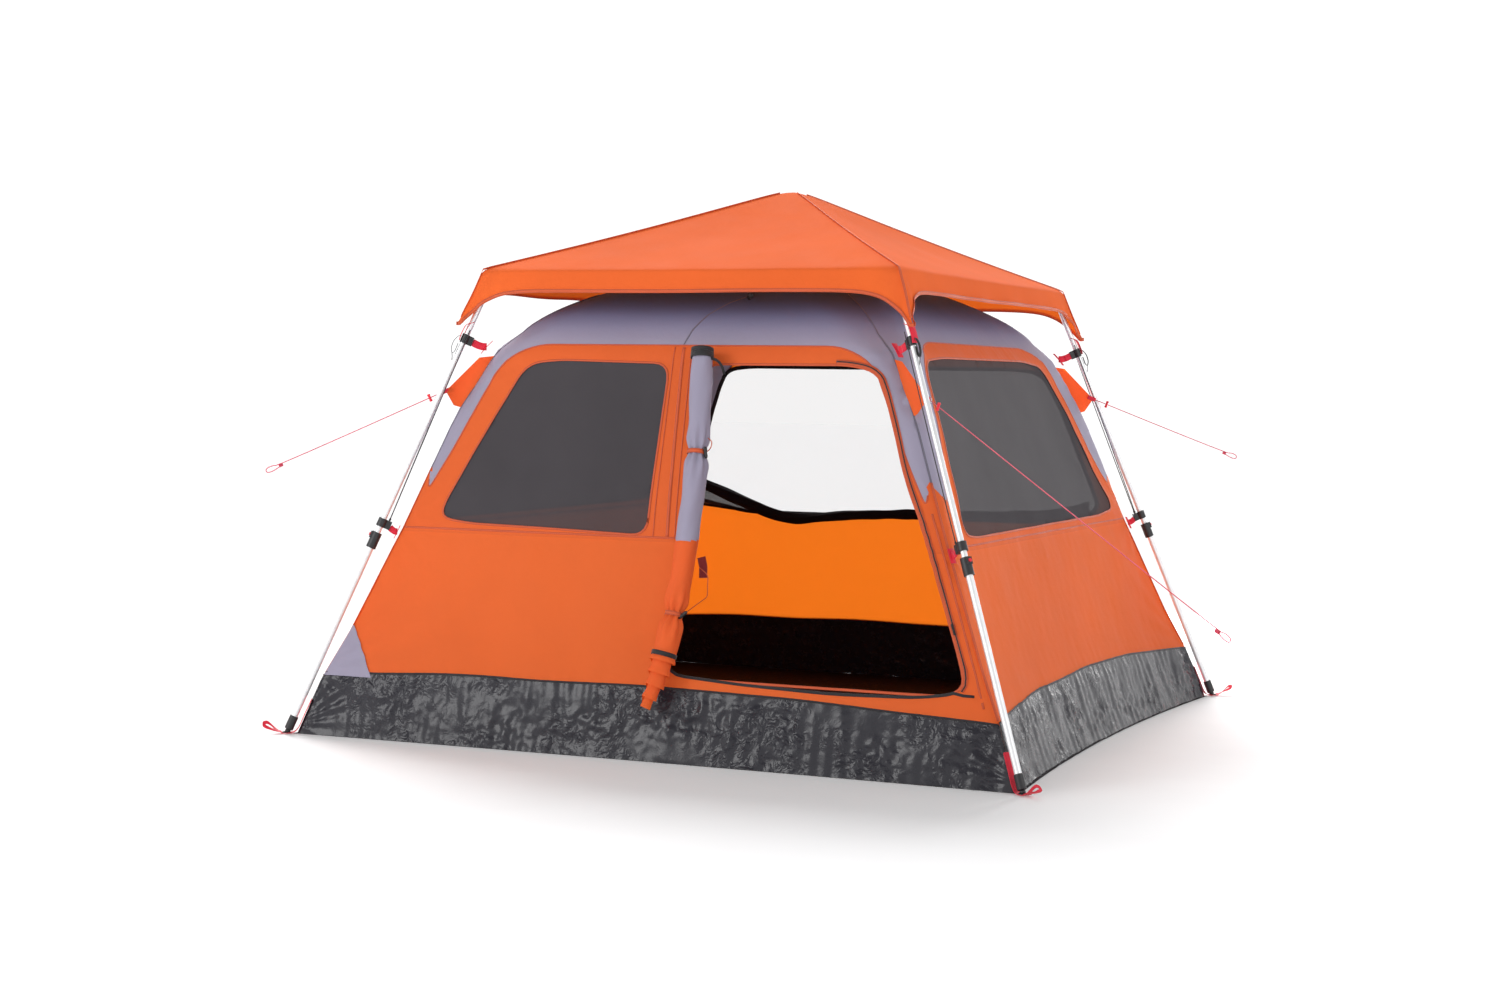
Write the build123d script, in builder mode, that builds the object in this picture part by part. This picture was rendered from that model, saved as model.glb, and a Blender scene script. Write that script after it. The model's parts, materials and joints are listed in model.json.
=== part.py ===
from build123d import *
import os
from math import acos, atan2, cos, degrees, hypot, pi, radians, sin, tan

# Quick-open family tent. Millimetres, +Z up, door in the front wall (-Y), origin on the ground at the centre.

# ---- driving dimensions --------------------------------------------------------------------------------
foot_half = 1230.0       # half the distance between neighbouring feet
eave_x = 712.0           # fly corner from the centre, along X
eave_y = 896.0           # fly corner from the centre, along Y
eave_z = 1502.0          # fly corner height
apex_z = 1808.0          # top of the fly
cloth = 2.5              # thickness of a cloth panel's solid
mesh_cloth = 1.5         # thickness of a mesh window's solid
skin_gap = 0.4           # space left between neighbouring cloth solids

lower_r = 11.0           # lower (outer) leg tube
upper_r = 9.5            # upper (inner) leg tube and roof arm tube
tube_wall = 1.4
run_gap = 0.05           # radial clearance of a sliding or turning fit

pin_x = 702.0            # elbow pin, on the leg's centre line, just inside the fly's corner
pin_y = 875.0
pin_z = 1450.0
pin_r = 4.0
elbow_offset = 28.0      # roof arm's centre line above the elbow pin
hub_pivot_r = 60.0       # hub pins from the centre line
hub_pivot_z = 1744.0
hub_pin_r = 3.0
hub_r = 76.0

tub_z = 190.0            # height of the floor tub's sides
wall_top = 1300.0        # where the walls end and the inner roof begins

# Inset of the body's corner edge from the leg's centre line, as (height, inset) pairs.
corner_inset = [(0, 30), (180, 27), (330, 47), (660, 65), (1060, 61), (1240, 76), (wall_top, 110)]
# The inner roof's plan at a height, as a share of the wall top's.
roof_steps = [(wall_top, 1.0), (1380, 0.88), (1450, 0.70), (1505, 0.46), (1540, 0.18)]

corners = {"fl": (-1, -1), "fr": (1, -1), "br": (1, 1), "bl": (-1, 1)}

os.makedirs("parts", exist_ok=True)


def save(part, name):
    """Labels a finished piece and writes its file."""
    part.label = name
    export_step(part, f"parts/{name}.step")
    print(f"{name}: volume {part.volume / 1000:.1f} cm3, solids {len(part.solids())}")


# ---- where the body and the legs are -------------------------------------------------------------------
lean_x = (foot_half - pin_x) / pin_z
lean_y = (foot_half - pin_y) / pin_z
lean_len = hypot(lean_x, lean_y)


def inset_at(z):
    """Inset of the body's corner edge at height z, straight between the listed heights."""
    for (z0, i0), (z1, i1) in zip(corner_inset, corner_inset[1:]):
        if z <= z1:
            return i0 + (i1 - i0) * (z - z0) / (z1 - z0)
    return corner_inset[-1][1]


def body_half(z):
    """Half width and half depth of the tent body at height z."""
    inset = inset_at(z)
    half_x = foot_half - lean_x * z - inset * lean_x / lean_len
    half_y = foot_half - lean_y * z - inset * lean_y / lean_len
    return half_x, half_y


def leg_point(corner, z):
    """Point of a leg's centre line at height z."""
    sx, sy = corners[corner]
    return Vector(sx * (foot_half - lean_x * z), sy * (foot_half - lean_y * z), z)


def leg_up(corner):
    return (leg_point(corner, pin_z) - leg_point(corner, 0)).normalized()


def leg_inward(corner):
    """Direction square to the leg, in its upright plane, towards the tent."""
    sx, sy = corners[corner]
    flat_in = Vector(-sx * lean_x, -sy * lean_y, 0).normalized()
    up = leg_up(corner)
    return (flat_in - up * flat_in.dot(up)).normalized()


def leg_plane(corner, s):
    """Plane square to the leg at distance s up from the foot point, with X towards the tent."""
    up = leg_up(corner)
    return Plane(origin=leg_point(corner, 0) + up * s, x_dir=leg_inward(corner), z_dir=up)


pin_s = (leg_point("fl", pin_z) - leg_point("fl", 0)).length


def elbow_frame(corner):
    """Elbow pin, the roof arm's direction, the direction from the pin up to the arm, and the hub pivot."""
    pin = leg_point(corner, pin_z)
    radial = Vector(pin.X, pin.Y, 0).normalized()
    pivot = radial * hub_pivot_r + Vector(0, 0, hub_pivot_z)
    down = leg_up(corner) * -1
    side = Vector(0, 0, 1)
    for _ in range(12):
        along = (pin + side * elbow_offset - pivot).normalized()
        side = (down - along * down.dot(along)).normalized() * -1
    return pin, along, side, pivot


arm_length = (elbow_frame("fl")[0] + elbow_frame("fl")[2] * elbow_offset - elbow_frame("fl")[3]).length

# ---- cloth panels --------------------------------------------------------------------------------------
wall_heights = [tub_z + skin_gap] + [z for z, _ in corner_inset if z > tub_z]


def wall_band(axis, sign, depth_in, thickness, heights):
    """Section polygon of a wall between two insets from the body's face, as (distance, height) points."""
    outer = [(sign * (body_half(z)[axis] - depth_in), z) for z in heights]
    inner = [(sign * (body_half(z)[axis] - depth_in - thickness), z) for z in reversed(heights)]
    return outer + inner


def wall_sides(axis, trim, heights):
    """Outline of a wall seen square on, as (distance, height) points."""
    right = [(body_half(z)[axis] - trim, z) for z in heights]
    left = [(-x, z) for x, z in reversed(right)]
    return right + left


# Openings in the walls, seen square on: X or Y along, Z up.
front_window = [(-52, 676), (-400, 684), (-690, 692), (-765, 712), (-792, 742), (-686, 940), (-602, 1102),
                (-545, 1196), (-460, 1212), (-46, 1204)]
doorway = [(62, 250), (400, 243), (735, 243), (905, 256), (1020, 285), (959, 446), (830, 757), (775, 867),
           (700, 1085), (672, 1150), (638, 1186), (571, 1204), (62, 1204)]
side_window = [(-820, 706), (-760, 690), (690, 694), (870, 712), (884, 750), (790, 860), (680, 1097),
               (590, 1210), (400, 1238), (-480, 1234), (-640, 1216), (-700, 1170), (-835, 760)]
back_window = [(-600, 690), (600, 690), (800, 760), (700, 1080), (650, 1185), (560, 1212), (-560, 1212),
               (-650, 1185), (-700, 1080), (-800, 760)]


def shrink(points, amount):
    """The outline moved inwards by a small amount towards its middle."""
    cx = sum(p[0] for p in points) / len(points)
    cy = sum(p[1] for p in points) / len(points)
    moved = []
    for x, y in points:
        reach = hypot(x - cx, y - cy)
        scale = (reach - amount) / reach
        moved.append((cx + (x - cx) * scale, cy + (y - cy) * scale))
    return moved


def panel(section_plane, face_plane, section, outline, holes=()):
    """A curved sheet: its section run along the wall, kept inside an outline, less its holes."""
    with BuildPart() as sheet:
        with BuildSketch(section_plane):
            with BuildLine():
                Polyline(*section, close=True)
            make_face()
        extrude(amount=1.1 * foot_half, both=True)
        with BuildSketch(face_plane):
            with BuildLine():
                Polyline(*outline, close=True)
            make_face()
            for hole in holes:
                with BuildLine():
                    Polyline(*hole, close=True)
                make_face(mode=Mode.SUBTRACT)
        extrude(amount=1.1 * foot_half, both=True, mode=Mode.INTERSECT)
    return sheet.part


# Sections of the front and back walls lie in YZ, those of the side walls in XZ.
# Plane.XZ looks along +Y with X to the right, so its local coordinates are (x, z).
x_face = Plane(origin=(0, 0, 0), x_dir=(0, 1, 0), z_dir=(1, 0, 0))
y_face = Plane.XZ

front_sides = wall_sides(0, 0, wall_heights)
side_sides = wall_sides(1, cloth + skin_gap, wall_heights)

front_wall = panel(x_face, y_face, wall_band(1, -1, 0, cloth, wall_heights), front_sides, [front_window, doorway])
save(front_wall, "front_wall")
back_wall = panel(x_face, y_face, wall_band(1, 1, 0, cloth, wall_heights), front_sides, [back_window])
save(back_wall, "back_wall")
right_wall = panel(y_face, x_face, wall_band(0, 1, 0, cloth, wall_heights), side_sides, [side_window])
save(right_wall, "right_wall")
left_wall = panel(y_face, x_face, wall_band(0, -1, 0, cloth, wall_heights), side_sides, [side_window])
save(left_wall, "left_wall")

# ---- mesh windows, and the back one rolled down along its sill -----------------------------------------
mesh_in = 0.5 * (cloth - mesh_cloth)
front_mesh = panel(x_face, y_face, wall_band(1, -1, mesh_in, mesh_cloth, wall_heights), shrink(front_window, 1.0))
right_mesh = panel(y_face, x_face, wall_band(0, 1, mesh_in, mesh_cloth, wall_heights), shrink(side_window, 1.0))
left_mesh = panel(y_face, x_face, wall_band(0, -1, mesh_in, mesh_cloth, wall_heights), shrink(side_window, 1.0))

roll_r = 19.0
roll_route = [(-770, 745), (-420, 668), (420, 668), (770, 745)]
roll_points = [Vector(x, body_half(z)[1] - cloth - roll_r - 6, z) for x, z in roll_route]
with BuildPart() as back_roll:
    with BuildLine() as roll_line:
        FilletPolyline(*roll_points, radius=300)
    with BuildSketch(Plane(origin=roll_line.line @ 0, z_dir=roll_line.line % 0)):
        Circle(roll_r)
    sweep()
window_meshes = Compound(children=[front_mesh, right_mesh, left_mesh, back_roll.part])
save(window_meshes, "window_meshes")

# ---- floor tub: a tray whose sides lean with the body --------------------------------------------------
floor_sheet = 2.5


def plan_loft(steps, trim):
    """Ruled solid through rectangles, each step being (height, half width, half depth)."""
    with BuildPart() as block:
        for z, half_x, half_y in steps:
            with BuildSketch(Plane.XY.offset(z)):
                Rectangle(2 * (half_x - trim), 2 * (half_y - trim))
        loft(ruled=True)
    return block.part


tub_steps = [(0, *body_half(0)), (tub_z, *body_half(tub_z))]
with BuildPart() as floor_tub:
    add(plan_loft(tub_steps, 0))
    add(plan_loft([(floor_sheet, *body_half(0)), (tub_z + 1, *body_half(tub_z + 1))], cloth), mode=Mode.SUBTRACT)
save(floor_tub.part, "floor_tub")

# ---- inner roof: a low four-sided dome -----------------------------------------------------------------
top_x, top_y = body_half(wall_top)
roof_outer = [(z, top_x * k, top_y * k) for z, k in roof_steps]
roof_inner = [(z - cloth * 1.6, top_x * k, top_y * k) for z, k in roof_steps]
with BuildPart() as inner_roof:
    add(plan_loft(roof_outer, 0))
    add(plan_loft(roof_inner, cloth * 0.9), mode=Mode.SUBTRACT)
    with BuildSketch(Plane.XY.offset(wall_top)):
        Rectangle(2 * foot_half, 2 * foot_half)
    extrude(amount=-60, mode=Mode.SUBTRACT)
save(inner_roof.part.moved(Location((0, 0, skin_gap))), "inner_roof")

# ---- fly canopy: pyramid roof with arched valances -----------------------------------------------------
valance_z = 1340.0       # lowest point of the valance's corner tips
valance_mid_z = 1412.0   # valance edge between the tips
tip_width = 95.0         # from a corner to where its arch begins
hem_half = (eave_x + lean_x * (eave_z - valance_z), eave_y + lean_y * (eave_z - valance_z))


def fly_steps(drop):
    """Rectangles of the fly, lowered by drop: valance hem, eave, a slightly hollow roof, apex."""
    hem = (valance_z, *hem_half)
    rise = apex_z - eave_z
    steps = [hem, (eave_z, eave_x, eave_y)]
    for share, hollow in [(0.5, 10.0), (0.93, 3.0)]:
        steps.append((eave_z + rise * share - hollow, eave_x * (1 - share), eave_y * (1 - share)))
    steps.append((apex_z, 16.0, 20.0))
    return [(z - drop, half_x, half_y) for z, half_x, half_y in steps]


def arch(half):
    """Opening under a valance between its two corner tips, in (along, height)."""
    a = half - tip_width
    low = valance_z - 40
    return [(-half + 24, low), (-a - 16, valance_mid_z - 22), (-a + 70, valance_mid_z - 4),
            (-a + 190, valance_mid_z + 2), (a - 190, valance_mid_z + 2), (a - 70, valance_mid_z - 4),
            (a + 16, valance_mid_z - 22), (half - 24, low)]


with BuildPart() as fly_canopy:
    add(plan_loft(fly_steps(0), 0))
    add(plan_loft(fly_steps(cloth * 1.3), cloth * 0.9), mode=Mode.SUBTRACT)
    with BuildSketch(Plane.XY.offset(valance_z + 1)):
        Rectangle(2 * foot_half, 2 * foot_half)
    extrude(amount=-60, mode=Mode.SUBTRACT)
    for face_plane, half in [(y_face, hem_half[0]), (x_face, hem_half[1])]:
        with BuildSketch(face_plane):
            with BuildLine():
                Polyline(*arch(half), close=True)
            make_face()
        extrude(amount=1.1 * foot_half, both=True, mode=Mode.SUBTRACT)
save(fly_canopy.part, "fly_canopy")

# ---- rolled door on the doorway's left edge ------------------------------------------------------------
door_roll_r = 37.0
door_roll_route = [(84, 1246), (112, 900), (106, 480), (58, 168)]
door_points = [Vector(x, -body_half(z)[1] - door_roll_r - 9, z) for x, z in door_roll_route]
with BuildPart() as rolled_door:
    with BuildLine() as door_line:
        FilletPolyline(*door_points, radius=600)
    with BuildSketch(Plane(origin=door_line.line @ 0, z_dir=door_line.line % 0)):
        Circle(door_roll_r)
    sweep()
save(rolled_door.part, "rolled_door")

# Ties: a band round the roll with a toggle at its side, at two heights.
tie_places = [0.29, 0.74]
tie_w = 22.0
tie_gap = (0.2, 2.2)     # the band's inside and outside from the roll
toggle_r = 6.0
toggle_len = 28.0
toggle_off = (9.0, -6.0, 0.0)
tie_parts = []
for share in tie_places:
    centre = door_line.line @ share
    along = door_line.line % share
    tie_plane = Plane(origin=centre, x_dir=(1, 0, 0), z_dir=along)
    with BuildPart() as tie_band:
        with BuildSketch(tie_plane.offset(-tie_w / 2)):
            Circle(door_roll_r + tie_gap[1])
            Circle(door_roll_r + tie_gap[0], mode=Mode.SUBTRACT)
        extrude(amount=tie_w)
    with BuildPart() as toggle:
        toggle_plane = Plane(origin=centre + Vector(door_roll_r, 0, 0) + Vector(*toggle_off), z_dir=along)
        with BuildSketch(toggle_plane.offset(-toggle_len / 2)):
            Circle(toggle_r)
        extrude(amount=toggle_len)
        fillet(toggle.edges(), 2)
    tie_parts += [tie_band.part, toggle.part]
save(Compound(children=tie_parts), "door_ties")

# ---- zip slider on the straight, right edge of the doorway ---------------------------------------------
zip_low = (959.0, 446.0)
zip_high = (830.0, 757.0)
zip_out = 3.5
slider_size = (15.0, 10.0)
slider_high = 5.0
pull_size = (30.0, 7.0)
pull_thick = 1.6


def on_front(x, z, out):
    return Vector(x, -body_half(z)[1] - out, z)


zip_from = on_front(zip_low[0] + 10, zip_low[1], zip_out)
zip_to = on_front(zip_high[0] + 10, zip_high[1], zip_out)
zip_axis = (zip_to - zip_from).normalized()
zip_travel = (zip_to - zip_from).length - 20
front_normal = Vector(0, -1, 0)
with BuildPart() as zip_slider:
    zip_plane = Plane(origin=zip_from + zip_axis * 8, x_dir=zip_axis, z_dir=front_normal)
    with BuildSketch(zip_plane):
        RectangleRounded(*slider_size, 3)
    extrude(amount=slider_high)
    with BuildSketch(zip_plane.offset(slider_high)):
        with Locations((-14, 0)):
            SlotOverall(*pull_size)
    extrude(amount=pull_thick)
save(zip_slider.part, "zip_slider")

# ---- hub: slotted housing, four hinge pins and the cap that carries the fly's apex ---------------------
slot_w = 16.6
eye_w = 16.0
hub_low = hub_pivot_z - 22
hub_high = hub_pivot_z + 12
hub_rim = 4.0            # chamfer of the hub's lower rim
cap_r = 42.0
cap_high = apex_z - 22
cap_taper = 14.0
cap_round = 8.0
hub_pin_half = 19.5      # half the length of a hub pin
through = 60.0           # half length of a cutter that passes right through
# Profile of an arm's slot from its pin, outward and up: open above, its floor falling outward.
slot_profile = [(-13, through), (-13, -4), (-9, -14), (40, -19), (40, through)]
with BuildPart() as hub_body:
    with BuildSketch(Plane.XY.offset(hub_low)):
        Circle(hub_r)
    extrude(amount=hub_high - hub_low)
    chamfer(hub_body.edges().group_by(Axis.Z)[0], hub_rim)
    with BuildSketch(Plane.XY.offset(hub_high)):
        Circle(cap_r)
    extrude(amount=cap_high - hub_high, taper=cap_taper)
    fillet(hub_body.edges().group_by(Axis.Z)[-1], cap_round)
    for corner in corners:
        pin, along, side, pivot = elbow_frame(corner)
        flat = Vector(along.X, along.Y, 0).normalized()
        cross = flat.cross(Vector(0, 0, 1))
        with BuildSketch(Plane(origin=pivot, x_dir=flat, z_dir=cross).offset(-slot_w / 2)):
            with BuildLine():
                Polyline(*slot_profile, close=True)
            make_face()
        extrude(amount=slot_w, mode=Mode.SUBTRACT)
        with BuildSketch(Plane(origin=pivot, z_dir=cross)):
            Circle(hub_pin_r)
        extrude(amount=hub_pin_half + 0.5, both=True, mode=Mode.SUBTRACT)
hub_pins = []
for corner in corners:
    pin, along, side, pivot = elbow_frame(corner)
    cross = Vector(along.X, along.Y, 0).normalized().cross(Vector(0, 0, 1))
    with BuildPart() as hub_pin:
        with BuildSketch(Plane(origin=pivot, z_dir=cross)):
            Circle(hub_pin_r)
        extrude(amount=hub_pin_half, both=True)
    hub_pins.append(hub_pin.part)
save(Compound(children=[hub_body.part] + hub_pins), "hub")

# ---- one corner of the frame ---------------------------------------------------------------------------
collar_s = 655.0         # low end of the lock collar, up the leg from the foot
collar_len = 54.0
lower_top_s = 682.0      # top of the lower tube, inside the collar
upper_low_s = 600.0      # bottom of the upper tube, inside the lower tube
ring_s = 730.0           # low end of the ring clip
ring_len = 28.0
clip_s = 1380.0          # low end of the pole clip
clip_len = 30.0
button_s = 696.0
button_r = 5.5
button_in = 13.6
button_out = 23.0
foot_ball_r = 9.0
ferrule_r = 14.0
eye_r = 11.5
eye_half = 9.6
cheek_w = 4.0
cheek_gap = 0.4
cheek_r = 12.5
socket_r = 12.5
socket_depth = 66.0
arm_short = 4.0          # the roof arm ends this far short of the elbow pin
arm_eye_r = 9.0          # round eye of the roof arm at the hub
neck_h = 14.0            # height of the flat neck between the eye and the tube
neck_len = 34.0
tube_from = 30.0         # where the arm's tube starts, from the hub pin
bore_from = 40.0         # where the arm's bore starts
cheek_len = 21.0         # width of an elbow cheek along the arm
cheek_back = 6.5         # the cheek's middle behind the elbow pin
elbow_pin_half = 15.0
plug_len = 30.0          # solid end of the upper leg below its eye
sleeve_r = 13.0          # pole clip
collar_r = 16.0          # lock collar
ring_r = 15.0            # ring clip
clip_lug = (18.0, 9.0)   # middle distance and width of the pole clip's lug, 18 deep
ring_lug = (20.0, 13.0)  # the same for the ring clip, 20 deep
boss_half = 11.0         # half the height of the button's boss on the collar
boss_out = 12.0
boss_size = (15.0, 17.0)
lower_low_s = 24.0       # bottom of the lower tube, in the ferrule
ferrule_low_s = 16.0
ferrule_len = 46.0
ferrule_edge = 1.5
neck_r = 6.0             # neck between the ferrule and the ball
tension_r = 1.6
tension_top_s = 1428.0   # the elastic's upper end, up the leg
tension_side = (16.5, 4.5)   # a strand beside the pole at its upper and its lower end
tension_in = (3.0, 20.0)     # the same towards the tent


def tube(plane, length, outer, inner):
    """A round tube that starts on the plane."""
    with BuildPart() as pipe:
        with BuildSketch(plane):
            Circle(outer)
            Circle(inner, mode=Mode.SUBTRACT)
        extrude(amount=length)
    return pipe.part


for corner, (sx, sy) in corners.items():
    pin, along, side, pivot = elbow_frame(corner)
    hinge = along.cross(leg_up(corner) * -1).normalized()
    up = leg_up(corner)
    inward = leg_inward(corner)
    lateral = up.cross(inward)

    # Roof arm: eye at the hub, flat neck, round tube into the elbow's socket.
    flat = Vector(along.X, along.Y, 0).normalized()
    cross = flat.cross(Vector(0, 0, 1))
    arm_plane = Plane(origin=pivot, x_dir=cross, z_dir=along)
    with BuildPart() as roof_arm:
        with BuildSketch(Plane(origin=pivot, z_dir=cross).offset(-eye_w / 2)):
            Circle(arm_eye_r)
        extrude(amount=eye_w)
        with BuildSketch(arm_plane):
            Rectangle(eye_w, neck_h)
        extrude(amount=neck_len)
        with BuildSketch(arm_plane.offset(tube_from)):
            Circle(upper_r)
        extrude(amount=arm_length - arm_short - tube_from)
        with BuildSketch(arm_plane.offset(bore_from)):
            Circle(upper_r - tube_wall)
        extrude(amount=arm_length, mode=Mode.SUBTRACT)
        with BuildSketch(Plane(origin=pivot, z_dir=cross)):
            Circle(hub_pin_r + run_gap)
        extrude(amount=through, both=True, mode=Mode.SUBTRACT)
    save(roof_arm.part, f"roof_arm_{corner}")

    # Elbow bracket: socket round the arm's end, two cheeks down to the pin, and the pin.
    elbow_plane = Plane(origin=pin, x_dir=along, z_dir=hinge)
    arm_end = pin + side * elbow_offset - along * arm_short
    socket_plane = Plane(origin=arm_end - along * socket_depth, x_dir=hinge, z_dir=along)
    with BuildPart() as bracket:
        with BuildSketch(elbow_plane.offset(-eye_half - cheek_gap - cheek_w)):
            with Locations((-cheek_back, -elbow_offset / 2)):
                Rectangle(cheek_len, elbow_offset)
            Circle(cheek_r)
        extrude(amount=2 * (eye_half + cheek_gap + cheek_w))
        with BuildSketch(elbow_plane.offset(-eye_half - cheek_gap)):
            with Locations((0, 20 - elbow_offset / 2)):
                Rectangle(2 * through, 40)
        extrude(amount=2 * (eye_half + cheek_gap), mode=Mode.SUBTRACT)
        with BuildSketch(socket_plane):
            Circle(socket_r)
        extrude(amount=socket_depth + arm_short + 2)
        with BuildSketch(socket_plane):
            Circle(upper_r)
        extrude(amount=socket_depth, mode=Mode.SUBTRACT)
        with BuildSketch(elbow_plane):
            Circle(pin_r)
        extrude(amount=through, both=True, mode=Mode.SUBTRACT)
    with BuildPart() as elbow_pin:
        with BuildSketch(elbow_plane):
            Circle(pin_r)
        extrude(amount=elbow_pin_half, both=True)
    save(Compound(children=[bracket.part, elbow_pin.part]), f"elbow_{corner}")

    # Upper leg: tube with a plugged end and an eye on the elbow pin.
    with BuildPart() as leg_upper:
        with BuildSketch(leg_plane(corner, upper_low_s)):
            Circle(upper_r)
        extrude(amount=pin_s - upper_low_s)
        with BuildSketch(leg_plane(corner, upper_low_s - 1)):
            Circle(upper_r - tube_wall)
        extrude(amount=pin_s - upper_low_s - plug_len, mode=Mode.SUBTRACT)
        with BuildSketch(elbow_plane.offset(-eye_half)):
            Circle(eye_r)
        extrude(amount=2 * eye_half)
        with BuildSketch(elbow_plane):
            Circle(pin_r + run_gap)
        extrude(amount=through, both=True, mode=Mode.SUBTRACT)
    save(leg_upper.part, f"leg_upper_{corner}")

    # Pole clip: sleeve fixed on the upper leg, with a lug for the body's webbing.
    with BuildPart() as pole_clip:
        with BuildSketch(leg_plane(corner, clip_s)):
            Circle(sleeve_r)
            with Locations((clip_lug[0], 0)):
                Rectangle(*clip_lug)
        extrude(amount=clip_len)
        with BuildSketch(leg_plane(corner, clip_s - 1)):
            Circle(upper_r)
        extrude(amount=clip_len + 2, mode=Mode.SUBTRACT)
    save(pole_clip.part, f"pole_clip_{corner}")

    # Lower leg: the outer tube.
    lower_leg = tube(leg_plane(corner, lower_low_s), lower_top_s - lower_low_s, lower_r, upper_r + run_gap)
    save(lower_leg, f"leg_lower_{corner}")

    # Lock collar: grips the lower tube, guides the upper one, and has a boss with the button's pocket outside.
    with BuildPart() as lock_collar:
        with BuildSketch(leg_plane(corner, collar_s)):
            Circle(collar_r)
        extrude(amount=collar_len)
        with BuildSketch(leg_plane(corner, button_s - boss_half)):
            with Locations((-boss_out, 0)):
                Rectangle(*boss_size)
        extrude(amount=2 * boss_half)
        with BuildSketch(leg_plane(corner, collar_s)):
            Circle(upper_r + run_gap)
        extrude(amount=collar_len, mode=Mode.SUBTRACT)
        with BuildSketch(leg_plane(corner, collar_s)):
            Circle(lower_r)
        extrude(amount=lower_top_s - collar_s, mode=Mode.SUBTRACT)
        button_plane = Plane(origin=leg_plane(corner, button_s).origin, z_dir=inward * -1)
        with BuildSketch(button_plane):
            Circle(button_r + run_gap)
        extrude(amount=through, mode=Mode.SUBTRACT)
    save(lock_collar.part, f"lock_collar_{corner}")

    with BuildPart() as lock_button:
        with BuildSketch(button_plane.offset(button_in)):
            Circle(button_r)
        extrude(amount=button_out - button_in)
        chamfer(lock_button.edges().sort_by(SortBy.DISTANCE)[-1:], 0.8)
    save(lock_button.part, f"lock_button_{corner}")

    # Ring clip: slides on the upper tube above the collar, with an inner lug for the strap and the cord.
    with BuildPart() as ring_clip:
        with BuildSketch(leg_plane(corner, ring_s)):
            Circle(ring_r)
            with Locations((ring_lug[0], 0)):
                Rectangle(*ring_lug)
        extrude(amount=ring_len)
        with BuildSketch(leg_plane(corner, ring_s - 1)):
            Circle(upper_r + run_gap)
        extrude(amount=ring_len + 2, mode=Mode.SUBTRACT)
    save(ring_clip.part, f"ring_clip_{corner}")

    # Foot: ferrule over the tube's end and the ball pin that goes through the corner webbing's grommet.
    ball_s = foot_ball_r / up.Z
    with BuildPart() as foot_cap:
        with BuildSketch(leg_plane(corner, ferrule_low_s)):
            Circle(ferrule_r)
        extrude(amount=ferrule_len)
        chamfer(foot_cap.edges().filter_by(GeomType.CIRCLE), ferrule_edge)
        with BuildSketch(leg_plane(corner, ball_s)):
            Circle(neck_r)
        extrude(amount=20)
        with Locations(leg_plane(corner, ball_s).origin):
            Sphere(foot_ball_r)
        with BuildSketch(leg_plane(corner, lower_low_s)):
            Circle(lower_r)
        extrude(amount=through, mode=Mode.SUBTRACT)
    save(foot_cap.part, f"foot_cap_{corner}")

    # Tension cord: two elastic strands beside the pole, from the fly's corner webbing to the ring clip's lug.
    strands = []
    for way in (-1, 1):
        top = leg_plane(corner, tension_top_s).origin
        top = top + lateral * (way * tension_side[0]) + inward * tension_in[0]
        low = leg_plane(corner, ring_s + ring_len).origin
        low = low + lateral * (way * tension_side[1]) + inward * tension_in[1]
        low = low + (top - low).normalized() * 1.2
        with BuildPart() as strand:
            with BuildSketch(Plane(origin=low, z_dir=top - low)):
                Circle(tension_r)
            extrude(amount=(top - low).length)
        strands.append(strand.part)
    save(Compound(children=strands), f"tension_cord_{corner}")

# ---- guy tabs, red webbing and guy lines ---------------------------------------------------------------
tab_low = 1062.0
tab_high = 1218.0
tab_tip = 1108.0
tab_reach = 50.0         # tip's distance out from the body's corner edge
tab_side = 19.0          # the tip is this far beside the leg's plane, so that the line passes the pole
tab_cloth = 2.0


def body_corner(corner, z, out=0.0):
    """Point of a corner edge of the body, moved outwards in the leg's plane."""
    sx, sy = corners[corner]
    half_x, half_y = body_half(z)
    flat_out = Vector(sx * lean_x, sy * lean_y, 0).normalized()
    return Vector(sx * half_x, sy * half_y, z) + flat_out * out


def beside(corner, amount):
    """A level offset square to the leg's plane, on the side away from the doorway."""
    sx, sy = corners[corner]
    flat_out = Vector(sx * lean_x, sy * lean_y, 0).normalized()
    return flat_out.cross(Vector(0, 0, 1)) * (amount * (-1 if corner in ("fr", "bl") else 1))


tabs = []
for corner in corners:
    top = body_corner(corner, tab_high, 1.0)
    low = body_corner(corner, tab_low, 1.0)
    tip = body_corner(corner, tab_tip, tab_reach) + beside(corner, tab_side)
    normal = (low - top).cross(tip - top).normalized()
    tab_plane = Plane(origin=top, x_dir=(low - top).normalized(), z_dir=normal)
    flat_points = [tab_plane.to_local_coords(p) for p in (top, low, tip)]
    with BuildPart() as tab:
        with BuildSketch(tab_plane):
            with BuildLine():
                Polyline(*[(p.X, p.Y) for p in flat_points], close=True)
            make_face()
        extrude(amount=tab_cloth / 2, both=True)
    tabs.append(tab.part)
save(Compound(children=tabs), "guy_tabs")

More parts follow.
